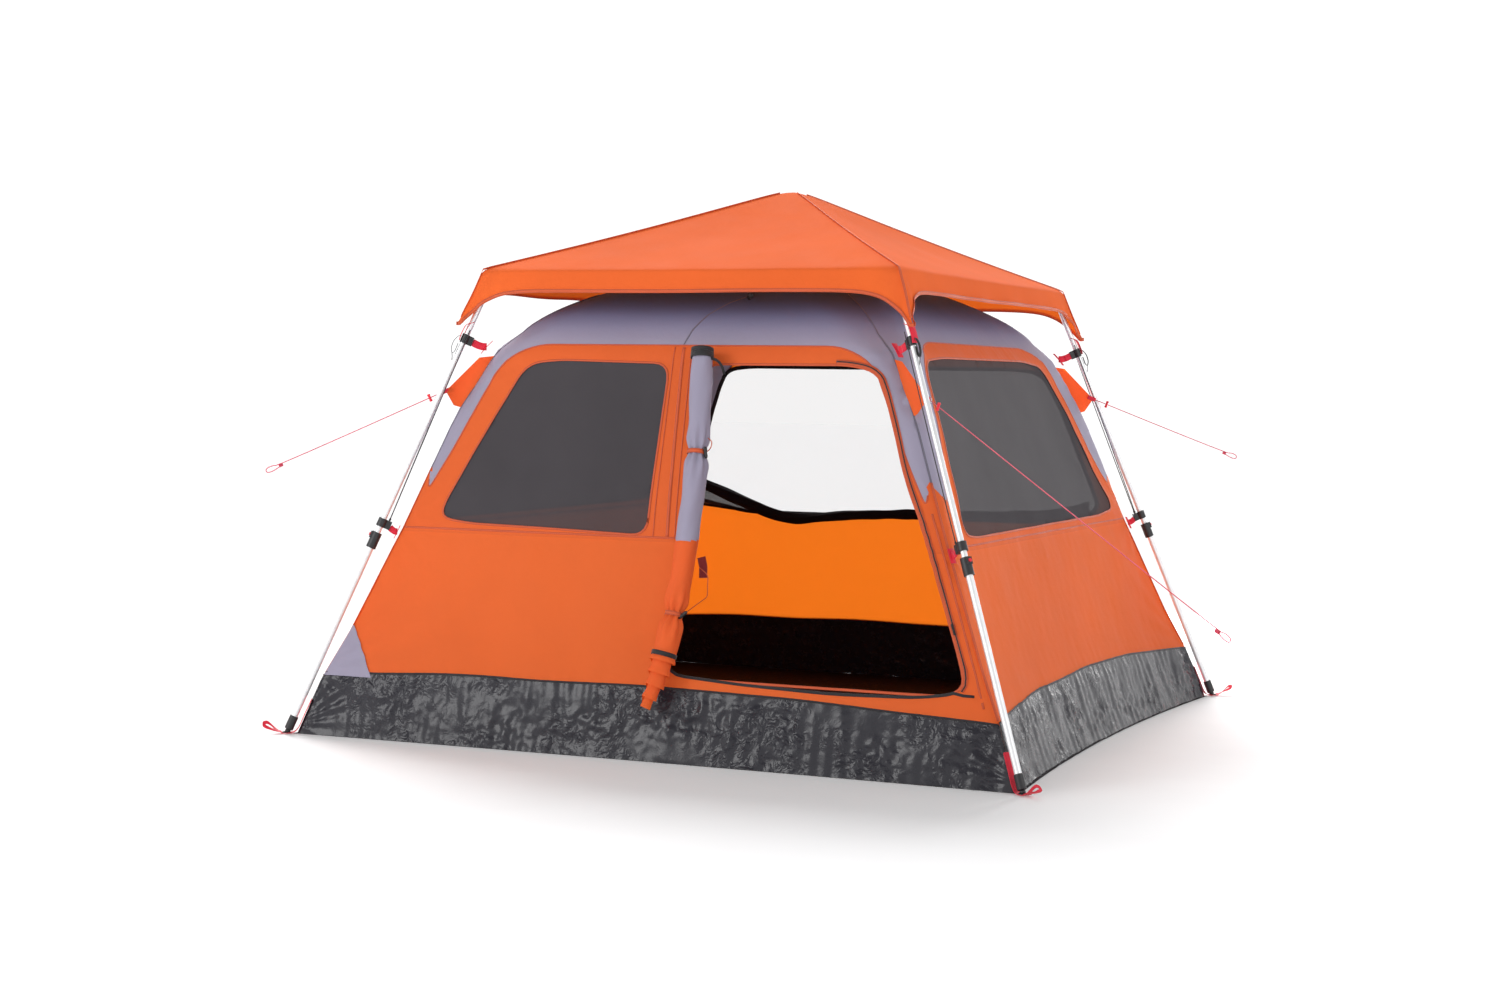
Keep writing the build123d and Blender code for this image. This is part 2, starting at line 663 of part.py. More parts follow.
strap_w = 22.0
strap_t = 1.8
foot_strap_w = 36.0
past_foot = 78.0         # foot strap beyond the foot's pin
grommet_r = 13.0
loop_hole = (34.0, 14.0)     # peg loop
loop_hole_in = 26.0      # its middle from the strap's end
straps = []
for corner, (sx, sy) in corners.items():
    flat_out = Vector(sx * lean_x, sy * lean_y, 0).normalized()
    start = body_corner(corner, 0, 2.5)
    foot = leg_point(corner, 0)
    reach = (foot - start).length + past_foot
    ground_plane = Plane(origin=start + Vector(0, 0, 0.2), x_dir=flat_out, z_dir=(0, 0, 1))
    # Foot strap on the ground: the grommet round the foot's pin, then the peg loop's hole.
    with BuildPart() as foot_strap:
        with BuildSketch(ground_plane):
            with Locations((reach / 2, 0)):
                RectangleRounded(reach, foot_strap_w, 8)
            with Locations((reach - past_foot, 0)):
                Circle(grommet_r, mode=Mode.SUBTRACT)
            with Locations((reach - loop_hole_in, 0)):
                SlotOverall(*loop_hole, mode=Mode.SUBTRACT)
        extrude(amount=strap_t)
    straps.append(foot_strap.part)
    # Body straps, from the corner edge to the ring clip and to the pole clip.
    for s, inner_reach in [(ring_s + 10, 30.5), (clip_s + clip_len / 2, 27.5)]:
        lug = leg_plane(corner, s).origin + leg_inward(corner) * inner_reach
        edge = body_corner(corner, lug.Z - 14, 9)
        with BuildPart() as strap:
            run = (edge - lug).normalized()
            wide = run.cross(leg_plane(corner, s).y_dir).normalized()
            with BuildSketch(Plane(origin=lug + run * 3, x_dir=wide, z_dir=run)):
                Rectangle(strap_w, strap_t)
            extrude(amount=(edge - lug).length - 4)
        straps.append(strap.part)
save(Compound(children=straps), "webbing_straps")

guy_r = 1.5
guy_slope = {"fl": 25.0, "fr": 25.0, "br": 20.5}
guy_visible = {"fl": 640.0, "fr": 1425.0, "br": 615.0}
loop_len = 60.0
loop_shape = [(22, 9), (46, 7), (46, -7), (22, -9)]      # the end loop from its knot, (ahead, aside)
tensioner_size = (26.0, 11.0)
tensioner_len = 12.0
tensioner_at = 48.0      # along the line from its start, clear of what slides on the pole
for corner in guy_slope:
    sx, sy = corners[corner]
    flat_out = Vector(sx * lean_x, sy * lean_y, 0).normalized()
    slope = radians(guy_slope[corner])
    line_dir = flat_out * cos(slope) - Vector(0, 0, sin(slope))
    lift = flat_out * sin(slope) + Vector(0, 0, cos(slope))
    start = body_corner(corner, tab_tip, tab_reach + 2) + beside(corner, tab_side)
    far = start + line_dir * (guy_visible[corner] - loop_len)
    loop = [far] + [far + line_dir * ahead + lift * aside for ahead, aside in loop_shape]
    path_points = [start] + loop + [far - line_dir * 1.0 - lift * 4.2]
    radii = []
    for before, here, after in zip(path_points, path_points[1:], path_points[2:]):
        turn = (here - before).get_angle(after - here)
        shorter = min((here - before).length, (after - here).length)
        radii.append(0.45 * shorter / tan(radians(turn / 2)))
    with BuildPart() as guy_line:
        with BuildLine() as guy_route:
            FilletPolyline(*path_points, radius=radii)
        with BuildSketch(Plane(origin=guy_route.line @ 0, z_dir=guy_route.line % 0)):
            Circle(guy_r)
        sweep()
    save(guy_line.part, f"guy_line_{corner}")
    route_length = guy_route.wires()[0].length
    ratio = guy_line.part.volume / (pi * guy_r ** 2 * route_length)
    print("  route", round(route_length), "volume ratio", round(ratio, 3), "radii", [round(r, 1) for r in radii])

    # Tensioner: a small rounded bar with the line through its hole.
    with BuildPart() as tensioner:
        bar_plane = Plane(origin=start + line_dir * tensioner_at, x_dir=lift, z_dir=line_dir)
        with BuildSketch(bar_plane):
            SlotOverall(*tensioner_size)
            Circle(guy_r + 0.4, mode=Mode.SUBTRACT)
        extrude(amount=tensioner_len)
    save(tensioner.part, f"tensioner_{corner}")

# ---- figures for the record ----------------------------------------------------------------------------
for corner in corners:
    pin, along, side, pivot = elbow_frame(corner)
    down = leg_up(corner) * -1
    hinge = along.cross(down).normalized()
    flat = Vector(along.X, along.Y, 0).normalized()
    cross = flat.cross(Vector(0, 0, 1))
    slope = degrees(atan2(-along.Z, hypot(along.X, along.Y)))
    print(corner, "pivot", pivot, "arm hinge", cross, "arm slope", round(slope, 2))
    print("   pin", pin, "leg hinge", hinge, "angle to close", round(degrees(acos(-along.dot(down))), 2), "down", down)
print("arm", round(arm_length, 1), "pin_s", round(pin_s, 1))
print("zip from", zip_from, "axis", zip_axis, "travel", round(zip_travel, 1))
for corner in guy_slope:
    slope = radians(guy_slope[corner])
    sx, sy = corners[corner]
    flat_out = Vector(sx * lean_x, sy * lean_y, 0).normalized()
    print("guy", corner, "axis", flat_out * cos(slope) - Vector(0, 0, sin(slope)))
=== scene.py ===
"""Looks of the quick-open family tent, in metres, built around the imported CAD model.

+Z is up, the doorway is in the front wall (-Y), and the origin is on the ground at the floor's centre.
A point of a wall is (side, along, height): along is X on the front and back walls and Y on the side walls.
"""
import json
import math

import bmesh
import bpy
import numpy as np
from mathutils import Matrix, Vector, geometry
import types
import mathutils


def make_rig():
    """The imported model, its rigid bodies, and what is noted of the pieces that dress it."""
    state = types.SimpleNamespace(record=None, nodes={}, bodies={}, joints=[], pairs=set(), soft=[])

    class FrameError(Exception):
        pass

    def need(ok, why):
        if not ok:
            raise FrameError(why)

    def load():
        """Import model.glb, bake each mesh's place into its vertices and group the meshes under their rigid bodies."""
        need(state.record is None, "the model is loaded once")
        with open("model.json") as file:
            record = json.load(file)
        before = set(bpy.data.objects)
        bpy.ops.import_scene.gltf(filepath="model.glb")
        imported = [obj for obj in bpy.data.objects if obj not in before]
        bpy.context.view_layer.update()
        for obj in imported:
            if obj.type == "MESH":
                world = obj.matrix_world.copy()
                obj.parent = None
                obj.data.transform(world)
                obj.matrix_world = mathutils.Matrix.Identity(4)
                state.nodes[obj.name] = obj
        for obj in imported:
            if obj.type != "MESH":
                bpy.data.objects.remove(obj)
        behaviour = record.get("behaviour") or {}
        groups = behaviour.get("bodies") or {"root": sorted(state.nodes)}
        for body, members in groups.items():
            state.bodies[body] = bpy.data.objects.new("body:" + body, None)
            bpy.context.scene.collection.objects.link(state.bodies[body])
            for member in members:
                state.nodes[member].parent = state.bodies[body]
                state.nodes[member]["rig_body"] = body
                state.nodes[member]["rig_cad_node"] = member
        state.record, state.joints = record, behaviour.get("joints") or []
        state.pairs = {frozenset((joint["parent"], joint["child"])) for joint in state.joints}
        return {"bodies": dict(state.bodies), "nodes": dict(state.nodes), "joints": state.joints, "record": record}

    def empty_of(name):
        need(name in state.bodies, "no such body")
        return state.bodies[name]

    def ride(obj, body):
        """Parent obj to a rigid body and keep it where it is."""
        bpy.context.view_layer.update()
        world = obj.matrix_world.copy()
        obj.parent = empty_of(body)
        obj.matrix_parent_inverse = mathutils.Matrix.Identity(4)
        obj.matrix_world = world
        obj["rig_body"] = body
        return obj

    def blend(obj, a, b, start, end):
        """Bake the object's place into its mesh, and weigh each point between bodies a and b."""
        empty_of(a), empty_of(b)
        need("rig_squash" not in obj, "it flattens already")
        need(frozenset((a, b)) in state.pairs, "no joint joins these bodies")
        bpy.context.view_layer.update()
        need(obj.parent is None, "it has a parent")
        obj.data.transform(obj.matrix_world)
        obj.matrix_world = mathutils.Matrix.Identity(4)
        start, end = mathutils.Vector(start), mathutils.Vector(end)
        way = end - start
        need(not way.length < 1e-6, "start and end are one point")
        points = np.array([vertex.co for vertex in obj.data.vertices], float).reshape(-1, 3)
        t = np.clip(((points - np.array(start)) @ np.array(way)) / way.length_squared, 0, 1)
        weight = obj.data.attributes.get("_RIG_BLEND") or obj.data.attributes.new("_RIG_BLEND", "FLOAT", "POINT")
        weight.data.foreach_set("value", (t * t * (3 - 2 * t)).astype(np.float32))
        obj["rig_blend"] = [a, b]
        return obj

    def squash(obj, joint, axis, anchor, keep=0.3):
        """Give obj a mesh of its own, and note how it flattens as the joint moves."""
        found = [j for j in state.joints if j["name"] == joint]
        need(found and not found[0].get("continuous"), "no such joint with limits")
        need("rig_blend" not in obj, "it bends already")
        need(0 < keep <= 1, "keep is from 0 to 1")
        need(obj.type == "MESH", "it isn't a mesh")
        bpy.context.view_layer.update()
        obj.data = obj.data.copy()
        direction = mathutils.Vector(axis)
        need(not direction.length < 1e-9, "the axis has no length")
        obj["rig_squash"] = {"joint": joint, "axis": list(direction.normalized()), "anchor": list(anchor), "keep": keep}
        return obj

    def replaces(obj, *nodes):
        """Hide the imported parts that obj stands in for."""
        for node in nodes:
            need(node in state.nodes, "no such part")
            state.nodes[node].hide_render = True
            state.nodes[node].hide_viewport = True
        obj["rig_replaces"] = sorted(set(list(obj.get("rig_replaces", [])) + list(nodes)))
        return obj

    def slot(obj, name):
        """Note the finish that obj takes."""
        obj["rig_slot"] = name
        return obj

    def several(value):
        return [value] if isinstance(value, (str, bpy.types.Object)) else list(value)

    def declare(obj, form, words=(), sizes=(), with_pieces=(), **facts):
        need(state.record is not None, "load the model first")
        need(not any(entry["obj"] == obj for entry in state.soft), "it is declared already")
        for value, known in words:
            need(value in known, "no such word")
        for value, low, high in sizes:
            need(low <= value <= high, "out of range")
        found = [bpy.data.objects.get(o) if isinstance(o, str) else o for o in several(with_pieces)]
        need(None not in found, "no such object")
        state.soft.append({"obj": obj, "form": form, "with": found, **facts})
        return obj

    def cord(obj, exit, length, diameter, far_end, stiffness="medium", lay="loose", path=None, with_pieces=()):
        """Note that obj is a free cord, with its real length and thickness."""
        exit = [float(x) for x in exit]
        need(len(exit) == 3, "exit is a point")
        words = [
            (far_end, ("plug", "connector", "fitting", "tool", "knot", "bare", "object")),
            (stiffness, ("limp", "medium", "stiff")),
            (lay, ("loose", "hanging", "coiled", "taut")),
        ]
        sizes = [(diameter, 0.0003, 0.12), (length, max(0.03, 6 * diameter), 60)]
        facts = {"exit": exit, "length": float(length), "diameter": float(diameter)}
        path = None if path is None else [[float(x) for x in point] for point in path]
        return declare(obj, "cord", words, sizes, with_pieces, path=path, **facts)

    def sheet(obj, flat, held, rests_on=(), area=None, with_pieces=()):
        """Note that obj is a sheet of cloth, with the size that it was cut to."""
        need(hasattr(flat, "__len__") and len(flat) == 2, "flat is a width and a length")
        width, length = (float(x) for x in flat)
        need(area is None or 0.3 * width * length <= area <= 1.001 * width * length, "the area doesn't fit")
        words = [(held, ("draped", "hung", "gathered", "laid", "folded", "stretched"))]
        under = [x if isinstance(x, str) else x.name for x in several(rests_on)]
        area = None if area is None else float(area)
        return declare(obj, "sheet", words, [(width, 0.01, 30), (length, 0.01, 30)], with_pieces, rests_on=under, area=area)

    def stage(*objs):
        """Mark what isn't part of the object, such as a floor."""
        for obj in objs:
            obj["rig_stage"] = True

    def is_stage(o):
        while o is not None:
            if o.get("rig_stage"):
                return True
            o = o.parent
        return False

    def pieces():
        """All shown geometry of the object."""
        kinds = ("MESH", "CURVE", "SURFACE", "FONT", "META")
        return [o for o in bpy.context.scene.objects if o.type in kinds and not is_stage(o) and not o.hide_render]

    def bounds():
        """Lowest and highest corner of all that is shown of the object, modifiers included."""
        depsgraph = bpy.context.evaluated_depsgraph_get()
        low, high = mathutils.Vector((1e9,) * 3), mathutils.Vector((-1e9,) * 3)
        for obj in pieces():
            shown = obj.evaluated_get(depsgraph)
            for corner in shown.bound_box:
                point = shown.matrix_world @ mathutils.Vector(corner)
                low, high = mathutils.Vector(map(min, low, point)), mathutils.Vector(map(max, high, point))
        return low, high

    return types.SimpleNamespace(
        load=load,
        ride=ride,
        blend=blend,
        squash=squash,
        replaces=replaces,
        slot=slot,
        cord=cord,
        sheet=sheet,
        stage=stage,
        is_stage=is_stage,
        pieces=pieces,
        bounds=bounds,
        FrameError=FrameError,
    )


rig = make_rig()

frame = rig.load()
cad_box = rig.bounds()

# ---- driving dimensions, from the frame ---------------------------------------------------------------------
JOINTS = {joint["name"]: joint for joint in frame["joints"]}
PIN_X, PIN_Y, PIN_Z = JOINTS["leg_fold_br"]["pos_m"]
LEG_AXIS = JOINTS["leg_slide_br"]["axis"]
LEAN_X = -LEG_AXIS[0] / LEG_AXIS[2]
LEAN_Y = -LEG_AXIS[1] / LEG_AXIS[2]
LEAN = math.hypot(LEAN_X, LEAN_Y)
FOOT_X = PIN_X + LEAN_X * PIN_Z
FOOT_Y = PIN_Y + LEAN_Y * PIN_Z
CORNERS = {"fl": (-1, -1), "fr": (1, -1), "br": (1, 1), "bl": (-1, 1)}
LEG_OUT = Vector((LEAN_X, LEAN_Y, 0)).normalized()
Z_UP = Vector((0, 0, 1))

# Inset of the body's corner edge from the leg's centre line, by height.
INSET_Z = [0, 0.18, 0.33, 0.66, 1.06, 1.24, 1.30]
INSET = [0.030, 0.027, 0.047, 0.065, 0.061, 0.076, 0.110]
# Radius that rounds the body's corner edges, by height.
ROUND_Z = [0, 0.6, 1.0, 1.2, 1.3, 1.45]
ROUND = [0.012, 0.02, 0.05, 0.10, 0.15, 0.22]
DOME_LOW = 1.27          # the body starts to close over here
DOME_TOP = 1.545
PANEL_TOP = 1.43         # the walls' cloth ends here, and the roof piece begins
SIDES = {  # which axis a wall runs along, and which way it faces
    "front": (0, -1),
    "right": (1, 1),
    "back": (0, 1),
    "left": (1, -1),
}


# ---- small helpers ------------------------------------------------------------------------------------------
def step(x, low, high):
    """0 below low, 1 above high, smooth between."""
    t = np.clip((np.asarray(x, float) - low) / (high - low), 0, 1)
    return t * t * (3 - 2 * t)


def bump(x, middle, width):
    """A smooth hump of height 1."""
    return np.exp(-(((np.asarray(x, float) - middle) / width) ** 2))


def waves(a, b, length, seed, count=7):
    """A soft, seeded ripple over two coordinates, about -1 to 1, with about that wavelength."""
    dice = np.random.default_rng(seed)
    total = 0.0
    for _ in range(count):
        turn = dice.uniform(0, math.pi)
        k = 2 * math.pi / (length * dice.uniform(0.65, 1.6))
        total = total + np.sin(k * (math.cos(turn) * a + math.sin(turn) * b) + dice.uniform(0, 6.3))
    return total / math.sqrt(count) / 1.4


def crumple(a, b, length, seed, count=7):
    """Creases as in crushed sheeting: soft ripples folded where they cross zero, at several sizes."""
    dice = np.random.default_rng(seed)
    total, weight = 0.0, 0.0
    for k in range(count):
        size = length * 1.9 * 0.80 ** k
        turn = dice.uniform(0, math.pi)
        c, s = math.cos(turn), math.sin(turn)
        stretch = dice.uniform(0.5, 1.0)
        ripple = waves((a * c + b * s) * stretch, b * c - a * s, size, seed * 31 + k, 6)
        total = total + (0.5 - np.minimum(np.abs(ripple) * 1.6, 1.2)) * 0.86 ** k
        weight += 0.86 ** k
    return total / weight * 2.0


def resample(points, spacing, closed=False):
    """The polyline with points about spacing apart, keeping its own points."""
    points = np.asarray(points, float)
    if closed:
        points = np.vstack([points, points[:1]])
    out = []
    for a, b in zip(points, points[1:]):
        count = max(1, int(round(np.linalg.norm(b - a) / spacing)))
        out += [a + (b - a) * k / count for k in range(count)]
    return np.array(out if closed else out + [points[-1]])


def rounded(points, radius, closed=True, steps=5):
    """The outline with each corner replaced by a smooth curve."""
    points = [np.array(p, float) for p in points]
    count = len(points)
    out = []
    for i, here in enumerate(points):
        if not closed and i in (0, count - 1):
            out.append(here)
            continue
        before, after = points[i - 1], points[(i + 1) % count]
        cut = min(radius, 0.48 * np.linalg.norm(before - here), 0.48 * np.linalg.norm(after - here))
        start = here + (before - here) / np.linalg.norm(before - here) * cut
        end = here + (after - here) / np.linalg.norm(after - here) * cut
        for k in range(steps + 1):
            t = k / steps
            out.append((1 - t) ** 2 * start + 2 * t * (1 - t) * here + t * t * end)
    return np.array(out)


def inside(points, polygon):
    """Which points lie inside a closed polygon."""
    x, y = points[:, 0], points[:, 1]
    found = np.zeros(len(points), bool)
    for (x0, y0), (x1, y1) in zip(polygon, np.roll(polygon, -1, axis=0)):
        crosses = (y0 > y) != (y1 > y)
        if y1 != y0:
            found ^= crosses & (x < (x1 - x0) * (y - y0) / (y1 - y0) + x0)
    return found


def from_line(points, line):
    """Distance of each point from a polyline."""
    best = np.full(len(points), np.inf)
    for a, b in zip(line, line[1:]):
        run = b - a
        share = np.clip(((points - a) @ run) / max(run @ run, 1e-12), 0, 1)
        best = np.minimum(best, np.linalg.norm(points - a - share[:, None] * run, axis=1))
    return best


def tangents(line):
    """Unit direction of a line at each of its points."""
    ways = np.gradient(line, axis=0)
    return ways / np.linalg.norm(ways, axis=1)[:, None]


def run_along(line):
    """Distance along a line at each of its points."""
    return np.concatenate([[0], np.cumsum(np.linalg.norm(np.diff(line, axis=0), axis=1))])


def circle(centre, a, b, radius, turns):
    """Points round a centre at the given angles, which run from direction a towards b."""
    return np.array(centre) + radius * (np.outer(np.cos(turns), a) + np.outer(np.sin(turns), b))


def ring_turns(count, endpoint=True):
    return np.linspace(0, 2 * math.pi, count, endpoint=endpoint)


# ---- meshes -------------------------------------------------------------------------------------------------
def piece(name, verts, faces, materials, picks=None, uvs=None, body="shelter", slot=None):
    """A smooth-shaded mesh object that rides on a body."""
    mesh = bpy.data.meshes.new(name)
    mesh.from_pydata([tuple(v) for v in verts], [], [tuple(f) for f in faces])
    materials = materials if isinstance(materials, (list, tuple)) else [materials]
    for material in materials:
        mesh.materials.append(material)
    mesh.polygons.foreach_set("use_smooth", [True] * len(mesh.polygons))
    if picks is not None:
        mesh.polygons.foreach_set("material_index", [int(p) for p in picks])
    if uvs is not None:
        layer = mesh.uv_layers.new(name="UVMap")
        loops = np.zeros(len(mesh.loops), int)
        mesh.loops.foreach_get("vertex_index", loops)
        layer.data.foreach_set("uv", np.asarray(uvs, float)[loops].ravel())
    mesh.update()
    obj = bpy.data.objects.new(name, mesh)
    bpy.context.scene.collection.objects.link(obj)
    if body:
        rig.ride(obj, body)
    if slot:
        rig.slot(obj, slot)
    return obj


class Build:
    """Collects grids of points into one mesh."""

    def __init__(self):
        self.verts, self.faces, self.uvs, self.picks = [], [], [], []

    def grid(self, rows, closed=False, caps=False, uv=None, pick=0):
        """Faces between rows of points; closed joins each row's end to its start, caps fills both ends."""
        rows = np.asarray(rows, float)
        n, m = rows.shape[:2]
        base = sum(len(v) for v in self.verts)
        self.verts.append(rows.reshape(-1, 3))
        if uv is None:
            along = run_along(rows[:, 0])
            across = np.linspace(0, 1, m)
            uv = np.stack(np.meshgrid(along, across, indexing="ij"), axis=-1)
        self.uvs.append(np.asarray(uv, float).reshape(-1, 2))
        for i in range(n - 1):
            for j in range(m if closed else m - 1):
                k = (j + 1) % m
                low, high = base + i * m, base + (i + 1) * m
                self.faces.append((low + j, low + k, high + k, high + j))
                self.picks.append(pick)
        if caps:
            self.faces.append(tuple(base + j for j in reversed(range(m))))
            self.faces.append(tuple(base + (n - 1) * m + j for j in range(m)))
            self.picks += [pick, pick]

    def tube(self, line, radius, sides=8, caps=True, pick=0):
        """A round tube along a line of points; radius may be one number or one for each point."""
        line = np.asarray(line, float)
        radii = np.full(len(line), radius) if np.isscalar(radius) else np.asarray(radius, float)
        ways = tangents(line)
        side = np.cross(ways[0], (0.13, 0.37, 0.92))
        rows = []
        for point, way, r in zip(line, ways, radii):
            side = side - way * (side @ way)
            side /= np.linalg.norm(side)
            other = np.cross(way, side)
            rows.append(circle(point, side, other, r, ring_turns(sides, False)))
        self.grid(rows, closed=True, caps=caps, pick=pick)

    def ribbon(self, line, across, width, thick, pick=0):
        """A flat band along a line, with a thickness; across gives its width's direction at each point."""
        line, across = np.asarray(line, float), np.asarray(across, float)
        if across.ndim == 1:
            across = np.tile(across, (len(line), 1))
        widths = np.full(len(line), width) if np.isscalar(width) else np.asarray(width, float)
        ways = tangents(line)
        across = across - ways * (across * ways).sum(1)[:, None]
        across /= np.linalg.norm(across, axis=1)[:, None]
        normal = np.cross(ways, across)
        rows = []
        for point, a, n, w in zip(line, across, normal, widths):
            edge = thick * 0.35
            section = [(-w / 2, 0), (-w / 2 + edge, thick / 2), (w / 2 - edge, thick / 2), (w / 2, 0),
                       (w / 2 - edge, -thick / 2), (-w / 2 + edge, -thick / 2)]
            rows.append([point + a * u + n * v for u, v in section])
        uv = [[(s, c) for c in (0, 0.02, 0.98, 1, 0.98, 0.02)] for s in run_along(line)]
        self.grid(rows, closed=True, caps=True, uv=uv, pick=pick)

    def make(self, name, materials, **keys):
        """The piece made of all the grids."""
        return piece(name, np.vstack(self.verts), self.faces, materials, self.picks, np.vstack(self.uvs),
                     **keys)


# ---- where the body is --------------------------------------------------------------------------------------
def body_half(z):
    """Half width and half depth of the tent body at height z."""
    inset = np.interp(z, INSET_Z, INSET)
    rise = np.clip((np.asarray(z, float) - DOME_LOW) / (DOME_TOP - DOME_LOW), 0, 1)
    share = np.sqrt(1 - rise ** 2)
    half_x = FOOT_X - LEAN_X * z - inset * LEAN_X / LEAN
    half_y = FOOT_Y - LEAN_Y * z - inset * LEAN_Y / LEAN
    return half_x * share, half_y * share


def leg_point(corner, z):
    sx, sy = CORNERS[corner]
    return Vector((sx * (FOOT_X - LEAN_X * z), sy * (FOOT_Y - LEAN_Y * z), z))


def out_of(corner):
    """Level direction outwards in a leg's plane."""
    sx, sy = CORNERS[corner]
    return Vector((sx * LEG_OUT.x, sy * LEG_OUT.y, 0))


def body_corner(corner, z, out=0.0):
    """Point of a corner edge of the body."""
    sx, sy = CORNERS[corner]
    half_x, half_y = body_half(z)
    return Vector((sx * half_x, sy * half_y, z)) + out_of(corner) * out


def tub_edge(side, u):
    """Height of the seam between the floor tub and a wall."""
    u = np.asarray(u, float)
    arch = 0.040 if side in ("front", "back") else 0.044
    middle = -0.12 if side in ("front", "back") else -0.05
    reach = np.clip(np.abs(u - middle) / (1.17 + abs(middle)), 0, 1)
    return 0.178 + arch * (1 - reach ** 2.2) + 0.0025 * waves(u, u * 0, 0.5, len(side), 4)


FOOT_BOW = {"front": 0.016, "back": 0.030, "left": 0.050, "right": 0.056}


def bow(side, u, z):
    """How far a wall's foot draws in between its corners, where only the corners are pegged."""
    level = 1 - step(z, 0.10, 0.85)
    return FOOT_BOW[side] * level * np.clip(1 - (np.asarray(u) / 1.17) ** 2, 0, 1) ** 0.8


def cloth_relief(side, u, z):
    """Slack and folds in a wall, outwards."""
    seed = {"front": 3, "right": 5, "back": 7, "left": 11}[side]
    half = body_half(z)[SIDES[side][0]]
    soft = 0.0020 * waves(u * 1.6, z * 0.7, 0.42, seed) + 0.0007 * waves(u * 1.5, z, 0.13, seed + 1)
    # Small puckers just above the tub's seam, and in the header over a side window.
    pucker = waves(u * 3.0, z * 0.3, 0.12, seed + 2)
    soft = soft + 0.0018 * pucker * np.exp(-np.clip(z - tub_edge(side, u), 0, 1) / 0.035)
    if side in ("left", "right"):
        soft = soft + 0.0030 * waves(u * 4.0, z * 0.8, 0.11, seed + 4) * bump(z, 1.262, 0.022)
    # Pulls that fan out of the corners, where the straps hold the cloth.
    for level, size in ((0.20, 0.0050), (0.68, 0.0032), (1.20, 0.0026)):
        for way in (-1, 1):
            away = half - way * u
            rise = z - level
            turn = np.arctan2(rise, away + 0.03)
            reach = np.hypot(away, rise)
            soft = soft + (size * np.sin(turn * 15 + way + level) * np.exp(-reach / 0.16)
                           * step(reach, 0.01, 0.07))
    # Hollow between the corner edges of the upper band, where the cloth hangs like a saddle.
    saddle = -0.010 * step(z, 0.75, 1.15) * np.clip(1 - (u / (half * 0.97)) ** 2, 0, 1)
    return soft * step(half - np.abs(u), 0.0, 0.05) + saddle


def wall_point(side, u, z, out=0.0):
    """Points of a wall, vectorised; out is the distance outside the cloth."""
    u, z = np.broadcast_arrays(np.asarray(u, float), np.asarray(z, float))
    axis, way = SIDES[side]
    halves = body_half(z)
    half, depth = halves[axis], halves[1 - axis]
    radius = np.minimum(np.interp(z, ROUND_Z, ROUND), 0.8 * np.minimum(half, depth))
    over = np.clip(np.abs(u) - (half - radius), 0, radius * 0.999)
    turned = radius - np.sqrt(radius ** 2 - over ** 2)
    face = depth - turned - bow(side, u, z) + cloth_relief(side, u, z) + out
    point = np.zeros(u.shape + (3,))
    point[..., axis] = u
    point[..., 1 - axis] = way * face
    point[..., 2] = z
    return point


def wall_edge(side, z):
    """How far along a wall reaches at height z: to the middle of its rounded corner."""
    radius = np.minimum(np.interp(z, ROUND_Z, ROUND), 0.8 * np.minimum(*body_half(z)))
    return body_half(z)[SIDES[side][0]] - (1 - math.sqrt(0.5)) * radius


